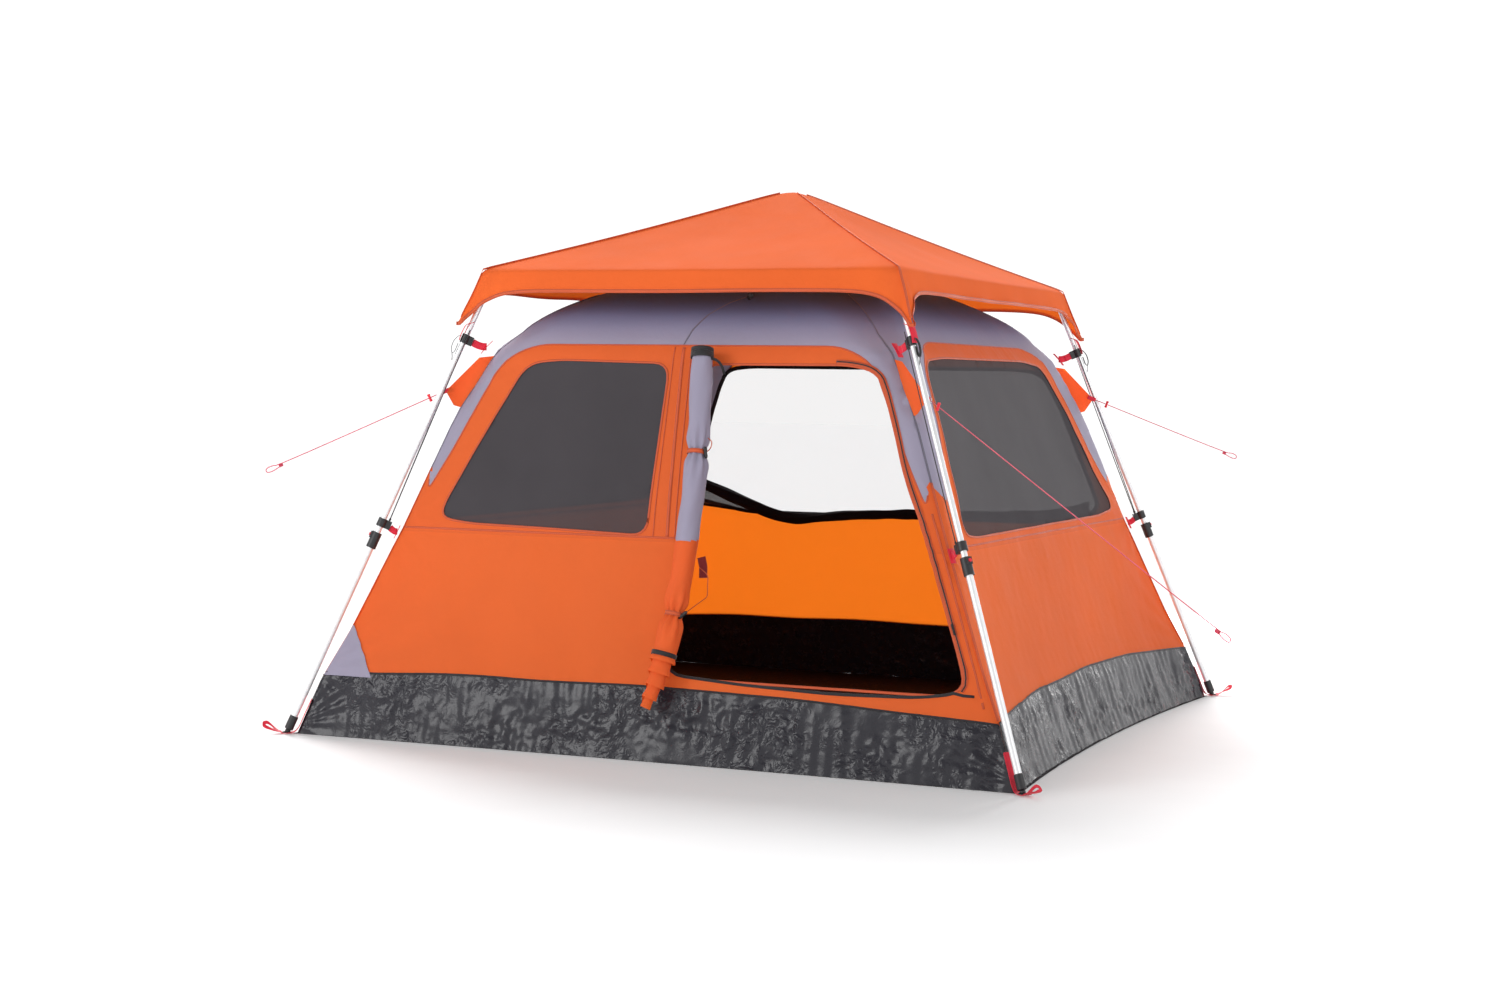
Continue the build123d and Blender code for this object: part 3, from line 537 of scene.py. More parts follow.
# ---- materials ----------------------------------------------------------------------------------------------
class Nodes:
    """Short ways to add shader nodes to one material."""

    def __init__(self, name):
        self.material = bpy.data.materials.new(name)
        self.material.use_nodes = True
        self.tree = self.material.node_tree
        self.tree.nodes.clear()
        self.output = self.tree.nodes.new("ShaderNodeOutputMaterial")
        self.place = self.tree.nodes.new("ShaderNodeTexCoord").outputs["Object"]

    def add(self, kind, settings=None, **inputs):
        node = self.tree.nodes.new(kind)
        for key, value in (settings or {}).items():
            setattr(node, key, value)
        for key, value in inputs.items():
            self.put(node, key.replace("_", " "), value)
        return node

    def put(self, node, key, value):
        socket = node.inputs[int(key)] if key.isdigit() else node.inputs[key]
        if isinstance(value, bpy.types.NodeSocket):
            self.tree.links.new(value, socket)
        else:
            socket.default_value = value

    def noise(self, scale, detail=3.0, rough=0.5, stretch=(1, 1, 1), place=None):
        spot = self.add("ShaderNodeMapping", Vector=place or self.place, Scale=stretch).outputs[0]
        return self.add("ShaderNodeTexNoise", Vector=spot, Scale=scale, Detail=detail,
                        Roughness=rough).outputs["Fac"]

    def math(self, operation, a, b=0.0):
        node = self.add("ShaderNodeMath", {"operation": operation})
        self.put(node, "0", a)
        self.put(node, "1", b)
        return node.outputs[0]

    def ramp(self, value, stops):
        node = self.add("ShaderNodeValToRGB", Fac=value)
        ends = node.color_ramp.elements
        while len(ends) < len(stops):
            ends.new(0.5)
        for end, (place, colour) in zip(ends, stops):
            end.position = place
            end.color = (*colour, 1)
        return node.outputs[0]

    def tones(self, value, low, high):
        return self.ramp(value, [(0.25, low), (0.75, high)])

    def bump(self, height, strength, distance, normal=None):
        node = self.add("ShaderNodeBump", Height=height, Strength=strength, Distance=distance)
        if normal is not None:
            self.put(node, "Normal", normal)
        return node.outputs[0]

    def weave(self, pitch, stretch=(1, 1, 1), place=None):
        """Height of a plain weave of that pitch: two crossed sets of threads."""
        spot = self.add("ShaderNodeMapping", Vector=place or self.place, Scale=stretch).outputs[0]
        sets = []
        for way in ("X", "Z"):
            band = self.add("ShaderNodeTexWave", {"bands_direction": way}, Vector=spot,
                            Scale=1 / (pitch * 6.2832) * 2)
            sets.append(band.outputs["Fac"])
        return self.math("MULTIPLY", sets[0], sets[1])

    def sum(self, value, share, plus):
        """value times share, plus another value."""
        return self.math("ADD", self.math("MULTIPLY", value, share), plus)

    def principled(self, **inputs):
        return self.add("ShaderNodeBsdfPrincipled", **inputs).outputs[0]

    def mix(self, kind, *values, settings=None, first=0):
        """A mix node, its inputs set in order: the share, then what it mixes."""
        node = self.add(kind, settings)
        for key, value in zip(("0", str(first + 1), str(first + 2)), values):
            self.put(node, key, value)
        return node

    def mix_shaders(self, share, one, other):
        return self.mix("ShaderNodeMixShader", share, one, other).outputs[0]

    def mix_colours(self, share, one, other):
        return self.mix("ShaderNodeMix", share, one, other, settings={"data_type": "RGBA"},
                        first=5).outputs[2]

    def finish(self, shader):
        self.tree.links.new(shader, self.output.inputs["Surface"])
        return self.material


def lighter(colour, share):
    return tuple(min(1.0, c * share) for c in colour)


def coated_cloth(name, colour, glow, through=0.3, rough=0.66, gloss=0.14, dirt=0.06, painted_shade=None):
    """Thin coated polyester: plain weave, soft tone changes, fine crinkle, and light that passes through.

    The last argument is a painted shadow: two heights, and the darker tone that the cloth goes over to between them,
    standing in for the shadow under the fly."""
    n = Nodes(name)
    patches = n.noise(2.2, 4, 0.55)
    base = n.tones(patches, lighter(colour, 1 - dirt), lighter(colour, 1 + dirt))
    # Painted shadow: the base colour goes over to a darker, bluer tone with height, for the shadow under the fly.
    if painted_shade:
        level = n.add("ShaderNodeSeparateXYZ", Vector=n.place).outputs[2]
        painted_shade_share = n.add("ShaderNodeMapRange", {"interpolation_type": "SMOOTHSTEP"}, Value=level,
                     From_Min=painted_shade[0],
                     From_Max=painted_shade[1]).outputs[0]
        base = n.mix_colours(painted_shade_share, base, (*painted_shade[2], 1))
    normal = n.bump(n.noise(38, 5, 0.62), 0.30, 0.004)
    normal = n.bump(n.weave(0.0011), 0.25, 0.0003, normal)
    roughness = n.sum(n.noise(9, 3), 0.16, rough - 0.08)
    face = n.principled(Base_Color=base, Roughness=roughness, Normal=normal, Sheen_Weight=0.02,
                        Sheen_Roughness=0.5, Specular_IOR_Level=gloss)
    back = n.add("ShaderNodeBsdfTranslucent", Color=(*glow, 1), Normal=normal).outputs[0]
    return n.finish(n.mix_shaders(through, face, back))


def insect_mesh(name, colour, open_share):
    """Fine mesh: dark threads, partly see-through."""
    n = Nodes(name)
    base = n.tones(n.noise(3, 3), lighter(colour, 0.92), lighter(colour, 1.08))
    normal = n.bump(n.weave(0.0016), 0.5, 0.0004)
    face = n.principled(Base_Color=base, Roughness=0.9, Normal=normal, Specular_IOR_Level=0.08)
    clear = n.add("ShaderNodeBsdfTransparent").outputs[0]
    return n.finish(n.mix_shaders(open_share, face, clear))


def crushed_sheet(name, colour, rough, gloss):
    """Polyethylene sheeting: glossy, with sharp creases of several sizes and pale patches along them, partly scuffs and
    partly painted glints.
    """
    n = Nodes(name)
    warp = n.add("ShaderNodeTexNoise", Vector=n.place, Scale=9.0, Detail=3.0).outputs["Color"]
    drift = n.add("ShaderNodeVectorMath", {"operation": "MULTIPLY_ADD"})
    for key, value in (("0", warp), ("1", (0.11, 0.11, 0.11)), ("2", n.place)):
        n.put(drift, key, value)
    ridges = []
    for scale in (27.0, 84.0):
        ridges.append(n.add("ShaderNodeTexNoise", {"noise_type": "RIDGED_MULTIFRACTAL"},
                            Vector=drift.outputs[0],
                            Scale=scale, Detail=5.0, Roughness=0.6, Lacunarity=2.2).outputs["Fac"])
    # Crushed in patches, with calmer sheet between them.
    crushed = n.add("ShaderNodeMapRange", {"interpolation_type": "SMOOTHSTEP"}, Value=n.noise(4.2, 2, 0.5),
                    From_Min=0.44, From_Max=0.58, To_Min=0.12, To_Max=1.0).outputs[0]
    creases = n.math("MULTIPLY", n.sum(ridges[0], 0.60, n.math("MULTIPLY", ridges[1], 0.25)), crushed)
    scuffs = n.noise(23, 6, 0.75)
    # Paler tone: partly scuffs, partly painted glints, lighter along the creases in the crushed patches.
    tone = n.sum(scuffs, 0.72, n.math("MULTIPLY", creases, 0.14))
    base = n.ramp(tone, [(0.40, colour), (0.60, lighter(colour, 1.25)), (0.78, lighter(colour, 2.3))])
    normal = n.bump(creases, 1.0, 0.012)
    roughness = n.sum(scuffs, 0.22, rough)
    return n.finish(n.principled(Base_Color=base, Roughness=roughness, Normal=normal,
                                 Specular_IOR_Level=gloss))


def webbing(name, colour, rough=0.7):
    """Woven tape: ribs across it along its length, from the piece's own along-and-across map."""
    n = Nodes(name)
    uv = n.add("ShaderNodeTexCoord").outputs["UV"]
    ribs = n.add("ShaderNodeTexWave", {"bands_direction": "X"}, Vector=uv, Scale=95,
                 Distortion=1.2).outputs["Fac"]
    cords = n.add("ShaderNodeTexWave", {"bands_direction": "Y"}, Vector=uv, Scale=1.9).outputs["Fac"]
    height = n.sum(ribs, 0.6, n.math("MULTIPLY", cords, 0.5))
    tone = n.sum(ribs, 0.5, n.math("MULTIPLY", n.noise(30), 0.5))
    base = n.tones(tone, lighter(colour, 0.72), lighter(colour, 1.12))
    return n.finish(n.principled(Base_Color=base, Roughness=rough, Normal=n.bump(height, 0.6, 0.0008),
                                 Sheen_Weight=0.25, Sheen_Roughness=0.4))


def braid(name, colour):
    """Braided cord: slanted strands round it."""
    n = Nodes(name)
    uv = n.add("ShaderNodeTexCoord").outputs["UV"]
    slant = n.add("ShaderNodeMapping", Vector=uv, Scale=(260, 2, 1), Rotation=(0, 0, 0.8)).outputs[0]
    strands = n.add("ShaderNodeTexWave", Vector=slant, Scale=1.0).outputs["Fac"]
    base = n.tones(strands, lighter(colour, 0.7), lighter(colour, 1.15))
    return n.finish(n.principled(Base_Color=base, Roughness=0.6, Normal=n.bump(strands, 0.5, 0.0005),
                                 Sheen_Weight=0.2))


def plastic(name, colour, rough, wear=0.5):
    """Moulded plastic: fine grain, and faint scuffs."""
    n = Nodes(name)
    scuffs = n.noise(70, 5, 0.7)
    base = n.ramp(scuffs, [(0.35, colour), (0.85, lighter(colour, 1 + wear))])
    grain = n.bump(n.noise(900, 2), 0.18, 0.0004)
    return n.finish(n.principled(Base_Color=base, Roughness=n.sum(scuffs, 0.2, rough), Normal=grain))


def pole_metal(name):
    """Anodised aluminium tube, drawn lengthwise, with handling marks."""
    n = Nodes(name)
    drawn = n.noise(900, 3, 0.6, stretch=(1, 1, 0.02))
    marks = n.noise(24, 5, 0.7)
    base = n.tones(marks, (0.80, 0.81, 0.83), (0.93, 0.93, 0.94))
    return n.finish(n.principled(Base_Color=base, Metallic=0.55, Roughness=n.sum(marks, 0.18, 0.27),
                                 Normal=n.bump(drawn, 0.12, 0.0003)))


def stitched(name, colour, thread):
    """Seam binding with two rows of stitches, along and across from the piece's own map."""
    n = Nodes(name)
    uv = n.add("ShaderNodeTexCoord").outputs["UV"]
    split = n.add("ShaderNodeSeparateXYZ", Vector=uv)
    beat = n.math("GREATER_THAN", n.math("FRACT", n.math("MULTIPLY", split.outputs[0], 250.0)), 0.38)
    rows = [n.math("COMPARE", split.outputs[1], place) for place in (0.2, 0.8)]
    for row in rows:
        row.node.inputs[2].default_value = 0.07
    line = n.math("MULTIPLY", n.math("ADD", rows[0], rows[1]), beat)
    base = n.tones(n.noise(12, 3), lighter(colour, 0.92), lighter(colour, 1.06))
    shown = n.mix_colours(line, base, (*thread, 1))
    height = n.math("ADD", line, n.math("MULTIPLY", n.weave(0.0011), 0.3))
    return n.finish(n.principled(Base_Color=shown, Roughness=0.65, Normal=n.bump(height, 0.6, 0.0007),
                                 Sheen_Weight=0.12))


ORANGE = (0.90, 0.162, 0.040)
ORANGE_GLOW = (1.0, 0.215, 0.012)
FLY_ORANGE = (0.86, 0.150, 0.036)
BAND_ORANGE = (0.80, 0.138, 0.034)
GREY = (0.345, 0.318, 0.420)
CLOTH = coated_cloth("orange_cloth", ORANGE, ORANGE_GLOW)
FLY_CLOTH = coated_cloth("fly_cloth", FLY_ORANGE, ORANGE_GLOW, through=0.16, rough=0.8, gloss=0.03)
BAND_CLOTH = coated_cloth("orange_band_cloth", BAND_ORANGE, ORANGE_GLOW, through=0.2)
# The grey cloth is painted darker and bluer from 1.25 to 1.43 m up: a painted shadow for where the fly shades it.
GREY_CLOTH = coated_cloth("grey_cloth", GREY, (0.30, 0.27, 0.34), through=0.08,
                          painted_shade=(1.25, 1.43, (0.060, 0.135, 0.320)))
WINDOW_MESH = insect_mesh("window_mesh", (0.066, 0.060, 0.066), 0.05)
ROLL_MESH = insect_mesh("rolled_mesh", (0.016, 0.013, 0.015), 0.0)
FLAP_MESH = insect_mesh("flap_mesh", (0.055, 0.048, 0.055), 0.12)
BACK_NET = insect_mesh("back_net", (0.70, 0.70, 0.73), 0.78)
SKIRT_SHEET = crushed_sheet("tub_sheet", (0.021, 0.020, 0.027), 0.15, 0.34)
FLOOR_SHEET = crushed_sheet("floor_sheet", (0.011, 0.007, 0.010), 0.62, 0.12)
RED_WEBBING = webbing("red_webbing", (0.80, 0.013, 0.045))
DARK_RED_WEBBING = webbing("dark_red_webbing", (0.22, 0.008, 0.012))
BLACK_WEBBING = webbing("black_webbing", (0.016, 0.015, 0.017))
BLACK_BINDING = webbing("black_binding", (0.012, 0.010, 0.013), 0.6)
RED_CORD = braid("red_cord", (0.78, 0.055, 0.12))
BLACK_ELASTIC = braid("black_elastic", (0.020, 0.019, 0.021))
BLACK_PLASTIC = plastic("black_plastic", (0.016, 0.016, 0.018), 0.34)
RED_PLASTIC = plastic("red_plastic", (0.72, 0.012, 0.030), 0.22, 0.2)
POLE = pole_metal("pole_metal")
ORANGE_SEAM = stitched("orange_seam", (0.62, 0.088, 0.018), (0.36, 0.05, 0.012))
GREY_SEAM = stitched("grey_seam", (0.165, 0.150, 0.20), (0.07, 0.065, 0.09))


# ---- walls --------------------------------------------------------------------------------------------------
# Outlines in (along, height). The right half of a symmetric line is listed, and mirrored where it is used.
FRONT_WINDOW = [(-0.052, 0.672), (-0.400, 0.682), (-0.690, 0.688), (-0.800, 0.705), (-0.686, 0.940),
                (-0.602, 1.102), (-0.550, 1.200), (-0.440, 1.214), (-0.046, 1.206)]
DOORWAY = [(0.062, 0.262), (0.300, 0.246), (0.620, 0.236), (0.900, 0.244), (1.030, 0.268), (0.959, 0.446),
           (0.830, 0.757), (0.775, 0.867), (0.700, 1.085), (0.655, 1.185), (0.560, 1.206), (0.062, 1.204)]
SIDE_WINDOW = [(-0.850, 0.700), (-0.740, 0.688), (0.690, 0.692), (0.905, 0.708), (0.790, 0.860),
               (0.680, 1.097),
               (0.600, 1.222), (0.400, 1.238), (-0.480, 1.236), (-0.655, 1.224), (-0.710, 1.130)]
BACK_WINDOW = [(-0.600, 0.640), (0.600, 0.640), (0.840, 0.690), (0.700, 1.080), (0.640, 1.200),
               (0.540, 1.214),
               (-0.540, 1.214), (-0.640, 1.200), (-0.700, 1.080), (-0.840, 0.690)]
FRONT_BAND = [(0, 1.262), (0.530, 1.262), (0.640, 1.205), (0.690, 1.100), (0.770, 0.928), (0.850, 0.780)]
SIDE_BAND = [(0, 1.284), (0.540, 1.284), (0.670, 1.235), (0.735, 1.110), (0.835, 0.890), (0.925, 0.790)]
BAND_FOOT = {"front": 0.870, "back": 0.870, "left": 0.850, "right": 0.850}   # where the band meets the corner
SEAM_Z = 0.668           # level seam under the windows
SEAM_END = 0.010         # a level seam ends this far from the corner edge
LEVEL_SEAMS = {  # where the level seam runs on each wall; -1 and 1 stand for the wall's ends
    "front": [(-1, 0.05)],
    "back": [(-1, -0.842), (0.842, 1)],
    "left": [(-1, 1)],
    "right": [(-1, 1)],
}
CLOTH_STEP = 0.017
MESH_STEP = 0.030
WINDOWS = {"front": FRONT_WINDOW, "back": BACK_WINDOW, "left": SIDE_WINDOW, "right": SIDE_WINDOW}


def window_outline(side):
    return rounded(WINDOWS[side], 0.055)


def window_ring(side):
    """The window's outline as a line that overlaps its own start."""
    ring = window_outline(side)
    return np.vstack([ring, ring[:2]])


def doorway_outline():
    return rounded(DOORWAY, 0.070)


def band_line(side):
    """Lower edge of the grey upper band, from corner to corner."""
    half = FRONT_BAND if side in ("front", "back") else SIDE_BAND
    foot = BAND_FOOT[side]
    right = half + [(float(wall_edge(side, foot)), foot)]
    left = [(-u, z) for u, z in reversed(right)]
    return rounded(left[:-1] + right, 0.07, closed=False)


def band_area(side):
    """The grey band's outline, closed well above the wall."""
    line = band_line(side)
    return np.vstack([[(line[0][0] - 1, line[0][1])], line,
                      [(line[-1][0] + 1, line[-1][1]), (3, 3), (-3, 3)]])


def wall_outline(side):
    """Outline of a wall's cloth: the tub's seam, the corner edges and the top."""
    low = [(u, float(tub_edge(side, u))) for u in np.linspace(-1, 1, 60) * wall_edge(side, 0.178)]
    heights = np.linspace(0.178, PANEL_TOP, 70)
    right = [(float(wall_edge(side, z)), z) for z in heights[1:]]
    left = [(-u, z) for u, z in reversed(right)]
    return np.array(low + right + left)


def flat_patch(outline, spacing, holes=(), creases=()):
    """Points and triangles that fill an outline in the plane, less its holes, with edges along the creases."""
    rings = [resample(ring, spacing, closed=True) for ring in [outline, *holes]]
    lines = [resample(line, spacing) for line in creases]
    points, edges = [], []
    for ring in rings:
        base = sum(len(p) for p in points)
        edges += [(base + k, base + (k + 1) % len(ring)) for k in range(len(ring))]
        points.append(ring)
    for line in lines:
        base = sum(len(p) for p in points)
        edges += [(base + k, base + k + 1) for k in range(len(line) - 1)]
        points.append(line)
    low, high = rings[0].min(0), rings[0].max(0)
    us, zs = np.arange(low[0], high[0], spacing), np.arange(low[1], high[1], spacing * 0.87)
    field = np.array([(u + spacing / 2 * (k % 2), z) for k, z in enumerate(zs) for u in us])
    keep = inside(field, rings[0])
    for ring in rings[1:]:
        keep &= ~inside(field, ring)
    field = field[keep]
    for line in [np.vstack([ring, ring[:1]]) for ring in rings] + lines:
        field = field[from_line(field, line) > spacing * 0.45]
    points = np.vstack(points + [field])
    made = geometry.delaunay_2d_cdt([Vector(p) for p in points], edges, [], 0, 1e-6)
    flat = np.array([tuple(p) for p in made[0]])
    faces = np.array(made[2])
    middles = flat[faces].mean(1)
    keep = inside(middles, rings[0])
    for ring in rings[1:]:
        keep &= ~inside(middles, ring)
    used, faces = np.unique(faces[keep], return_inverse=True)
    return flat[used], faces.reshape(-1, 3), middles[keep]


def facing(side, rows):
    """Triangles, or a grid's rows of points, turned so that their faces look outwards."""
    return rows if side in ("front", "right") else rows[:, ::-1]


def make_wall(side):
    holes = [window_outline(side)] + ([doorway_outline()] if side == "front" else [])
    creases = [band_line(side)[1:-1]]
    flat, faces, middles = flat_patch(wall_outline(side), CLOTH_STEP, holes, creases)
    above = inside(middles, band_area(side))
    strips = (middles[:, 1] > SEAM_Z - 0.012) & ~above
    picks = np.where(above, 2, np.where(strips, 1, 0))
    verts = wall_point(side, flat[:, 0], flat[:, 1])
    obj = piece(f"{side}_wall_cloth", verts, facing(side, faces), [CLOTH, BAND_CLOTH, GREY_CLOTH], picks,
                uvs=flat, slot="orange_cloth")
    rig.replaces(obj, f"{side}_wall")
    return obj


def make_window(side, materials):
    """Mesh sewn behind a window's opening, a little slack."""
    outline = window_outline(side)
    middle = outline.mean(0)
    grown = middle + (outline - middle) * 1.012
    flat, faces, _ = flat_patch(grown, MESH_STEP)
    slack = from_line(flat, np.vstack([outline, outline[:1]]))
    verts = wall_point(side, flat[:, 0], flat[:, 1], -0.0025 - 0.010 * step(slack, 0, 0.25))
    return piece(f"{side}_window_mesh", verts, facing(side, faces), materials, uvs=flat, slot="window_mesh")


# Each sheet as cut, by arithmetic on its panel's widths and slopes: width, length, and the area that is
# left once its holes and corners are cut away.
CUTS = {
    "front_wall_cloth": (2.276, 1.36, 1.17), "back_wall_cloth": (2.276, 1.36, 1.40),
    "left_wall_cloth": (2.333, 1.36, 1.78), "right_wall_cloth": (2.333, 1.36, 1.78),
    "front_window_mesh": (0.76, 0.58, 0.342), "back_window_mesh": (1.67, 0.60, 0.877),
    "left_window_mesh": (1.74, 0.58, 0.867), "right_window_mesh": (1.74, 0.58, 0.867),
    "inner_roof_cloth": (1.06, 1.40, 1.33), "tub_sides": (9.43, 0.23, 2.01), "tub_floor": (2.41, 2.41, 5.80),
    "fly_cloth": (1.71, 2.05, 3.26), "rolled_door_cloth": (0.95, 1.05, 0.91),
}


def declare_cloth(obj, held, rests_on=()):
    width, length, area = CUTS[obj.name]
    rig.sheet(obj, flat=(width, length), held=held, rests_on=rests_on, area=area)


def line_on_wall(side, points, out, spacing=0.012):
    """A line on a wall and its direction across, from (along, height) points."""
    points = resample(points, spacing)
    ways = tangents(points)
    across = np.stack([-ways[:, 1], ways[:, 0]], axis=1) * 0.002
    at = wall_point(side, points[:, 0], points[:, 1], out)
    beside = wall_point(side, points[:, 0] + across[:, 0], points[:, 1] + across[:, 1], out)
    return at, beside - at


def wall_ribbon(build, side, points, width, thick=0.0009, out=0.0006, pick=0):
    at, across = line_on_wall(side, points, out)
    build.ribbon(at, across, width, thick, pick)


def offset_line(points, amount):
    """The polyline moved sideways in its plane."""
    points = np.asarray(points, float)
    ways = tangents(points)
    return points + np.stack([-ways[:, 1], ways[:, 0]], axis=1) * amount


def make_seams():
    """Felled seams: round the windows and doorway, along the bands and at the corner edges."""
    orange, grey = Build(), Build()
    for side in SIDES:
        wall_ribbon(orange, side, window_ring(side), 0.007, out=0.0010)
        wall_ribbon(orange, side, band_line(side)[1:-1], 0.006)
    # The level seam, left out where the doorway and the back window cut it.
    for side, runs in LEVEL_SEAMS.items():
        end = float(wall_edge(side, SEAM_Z)) - SEAM_END
        for start, stop in runs:
            line = [(u * end if abs(u) == 1 else u, SEAM_Z) for u in (start, stop)]
            wall_ribbon(orange, side, line, 0.007 if side == "front" else 0.006)
    door = doorway_outline()
    door = door[door[:, 1] > 0.25]
    wall_ribbon(orange, "front", door, 0.008, out=0.0012)
    # The strip between window and doorway has a seam down each side and a flap over the zip between them.
    for top, foot, width in [(-0.036, -0.030, 0.004), (-0.006, 0.018, 0.011), (0.022, 0.044, 0.004)]:
        wall_ribbon(orange, "front", [(top, 1.256), (foot, SEAM_Z + 0.004)], width, 0.0016, 0.0010)
    # Outer edge of the doorway's right strip, down to the tub.
    wall_ribbon(orange, "front", [(0.868, 0.770), (0.985, 0.480), (1.085, 0.225)], 0.007, 0.0014)
    roof_seam = [(-0.010, 1.262), (0.004, 1.31), (0.035, 1.36), (0.080, 1.40), (0.130, 1.425)]
    wall_ribbon(grey, "front", roof_seam, 0.005)
    wall_ribbon(grey, "back", [(0.0, 1.262), (0.0, 1.425)], 0.005)
    for corner, (sx, sy) in CORNERS.items():
        side = "front" if sy < 0 else "back"
        for build, low, high, out, width, thick in [(orange, 0.195, 0.86, 0.0008, 0.010, 0.0022),
                                                    (grey, 0.86, PANEL_TOP, 0.0004, 0.008, 0.0016)]:
            edge = [(sx * float(wall_edge(side, z)), z) for z in np.linspace(low, high, 50)]
            at = wall_point(side, *np.array(edge).T, out)
            build.ribbon(at, np.cross(np.gradient(at, axis=0), out_of(corner)), width, thick)
    orange.make("orange_seams", ORANGE_SEAM, slot="orange_cloth")
    grey.make("grey_seams", GREY_SEAM, slot="grey_cloth")


PATCH_LOW, PATCH_HIGH, PATCH_WIDTH = 0.190, 0.350, 0.175


def make_corner_patch():
    """Grey triangle that reinforces the front wall's low left corner."""
    rows = []
    for z in np.linspace(PATCH_LOW, PATCH_HIGH, 16):
        edge = float(wall_edge("front", z)) - 0.002
        reach = max(PATCH_WIDTH * (1 - (z - PATCH_LOW) / 0.165), 0.003)
        rows.append(wall_point("front", -np.linspace(edge - reach, edge, 14), z, 0.0038))
    build = Build()
    build.grid(rows)
    build.make("corner_patch", GREY_CLOTH, slot="grey_cloth")


def make_roof():
    """Inner roof over the walls: closes in rings to a flat top."""
    turns = np.linspace(math.asin((PANEL_TOP - DOME_LOW) / (DOME_TOP - DOME_LOW)), math.radians(88.5), 20)
    rows = []
    for turn in turns:
        z = DOME_LOW + (DOME_TOP - DOME_LOW) * math.sin(turn)
        ring = []
        for side, flip in (("front", 1), ("right", 1), ("back", -1), ("left", -1)):
            edge = float(wall_edge(side, z))
            ring.append(wall_point(side, flip * np.linspace(-edge, edge, 40, endpoint=False), z))
        rows.append(np.vstack(ring))
    top = rows[-1].mean(0)
    rows.append(top + (rows[-1] - top) * 0.02 + np.array((0, 0, 0.0006)))
    build = Build()
    build.grid(rows, closed=True)
    obj = build.make("inner_roof_cloth", GREY_CLOTH, slot="grey_cloth")
    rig.replaces(obj, "inner_roof")
    return obj


# ---- floor tub ----------------------------------------------------------------------------------------------
TUB_FOOT = 0.0012        # the tub's side starts just over the ground
SKIRT_COLUMNS, SKIRT_ROWS = 420, 38
FLOOR_HALF, FLOOR_COUNT = 1.215, 90


def skirt_point(side, u, share):
    """Points of the tub's side: share runs from the ground to the wall's seam."""
    u, share = np.broadcast_arrays(np.asarray(u, float), np.asarray(share, float))
    top = tub_edge(side, u) + 0.003
    z = TUB_FOOT + (top - TUB_FOOT) * share
    seed = {"front": 21, "right": 24, "back": 27, "left": 30}[side]
    loose = np.sin(np.pi * np.clip(share, 0, 1)) ** 0.6 * 0.85 + 0.15 * (1 - share)
    half = body_half(z)[SIDES[side][0]]
    loose = loose * step(half - np.abs(u), 0.0, 0.06)
    broad = waves(u + 0.35 * z, z * 0.5, 0.24, seed, 5) * (0.005 if side in ("left", "right") else 0.003)
    patches = 0.35 + 1.0 * step(waves(u, z * 1.4, 0.30, seed + 9, 5), -0.25, 0.7)
    fine = 0.0058 * crumple(u, z * 1.3, 0.110, seed) + 0.0030 * crumple(u * 0.9, z * 1.1, 0.046, seed + 1)
    fine = fine * patches
    fan = 0.0045 * np.sin(np.arctan2(z - 0.03, half - np.abs(u) + 0.02) * 17) * np.exp(-(half - np.abs(u)) / 0.13)
    return wall_point(side, u, z, 0.0012 + loose * (broad + fine + fan))


def make_tub():
    """The tub's crushed side all round, its floor sheet, and the binding on their seam with the walls."""
    build = Build()
    for side in SIDES:
        columns = []
        for share in np.linspace(0, 1, SKIRT_ROWS):
            z = TUB_FOOT + (0.19 - TUB_FOOT) * share
            edge = float(wall_edge(side, z))
            columns.append(skirt_point(side, np.linspace(-edge, edge, SKIRT_COLUMNS), share))
        build.grid(facing(side, np.array(columns)))
    skirt = build.make("tub_sides", SKIRT_SHEET, slot="tub_sheet")
    rows = []
    xs = np.linspace(-1, 1, FLOOR_COUNT)
    for y in xs:
        # The floor's edges draw in as the walls' feet do.
        reach_x = FLOOR_HALF - np.where(xs > 0, FOOT_BOW["right"], FOOT_BOW["left"]) * (1 - y * y)
        reach_y = FLOOR_HALF - FOOT_BOW["front" if y < 0 else "back"] * (1 - xs * xs)
        px, py = xs * reach_x, y * reach_y
        from_edge = FLOOR_HALF - np.maximum(np.abs(px), np.abs(py))
        lift = 0.0013 * (1 + crumple(px, py, 0.16, 5)) * step(from_edge, 0, 0.05)
        rows.append(np.stack([px, py, 0.0008 + np.clip(lift, 0, 0.0026)], axis=1))
    build = Build()
    build.grid(rows)
    floor = build.make("tub_floor", FLOOR_SHEET, slot="tub_sheet")
    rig.replaces(skirt, "floor_tub")
    build = Build()
    for side in SIDES:
        edge = float(wall_edge(side, 0.18)) - 0.004
        us = np.linspace(-edge, edge, 200)
        at = wall_point(side, us, tub_edge(side, us) + 0.002, 0.0018)
        build.ribbon(at, (0, 0, 1), 0.007, 0.0016)
    build.make("tub_binding", BLACK_BINDING, slot="black_webbing")
    return skirt, floor


# ---- fly ----------------------------------------------------------------------------------------------------
EAVE_X, EAVE_Y, EAVE_Z = 0.712, 0.896, 1.502
APEX_Z = cad_box[1].z
HEM_MID = 1.426          # valance's edge between its corner tips
HEM_TIP = 1.322
HEM_REACH = 0.043        # how quickly the arch rises beside a tip
FLY_COLUMNS = 110
ROOF_ROWS = 44
VALANCE_ROWS = 14


def eave_half(side):
    return (EAVE_X, EAVE_Y) if SIDES[side][0] == 0 else (EAVE_Y, EAVE_X)


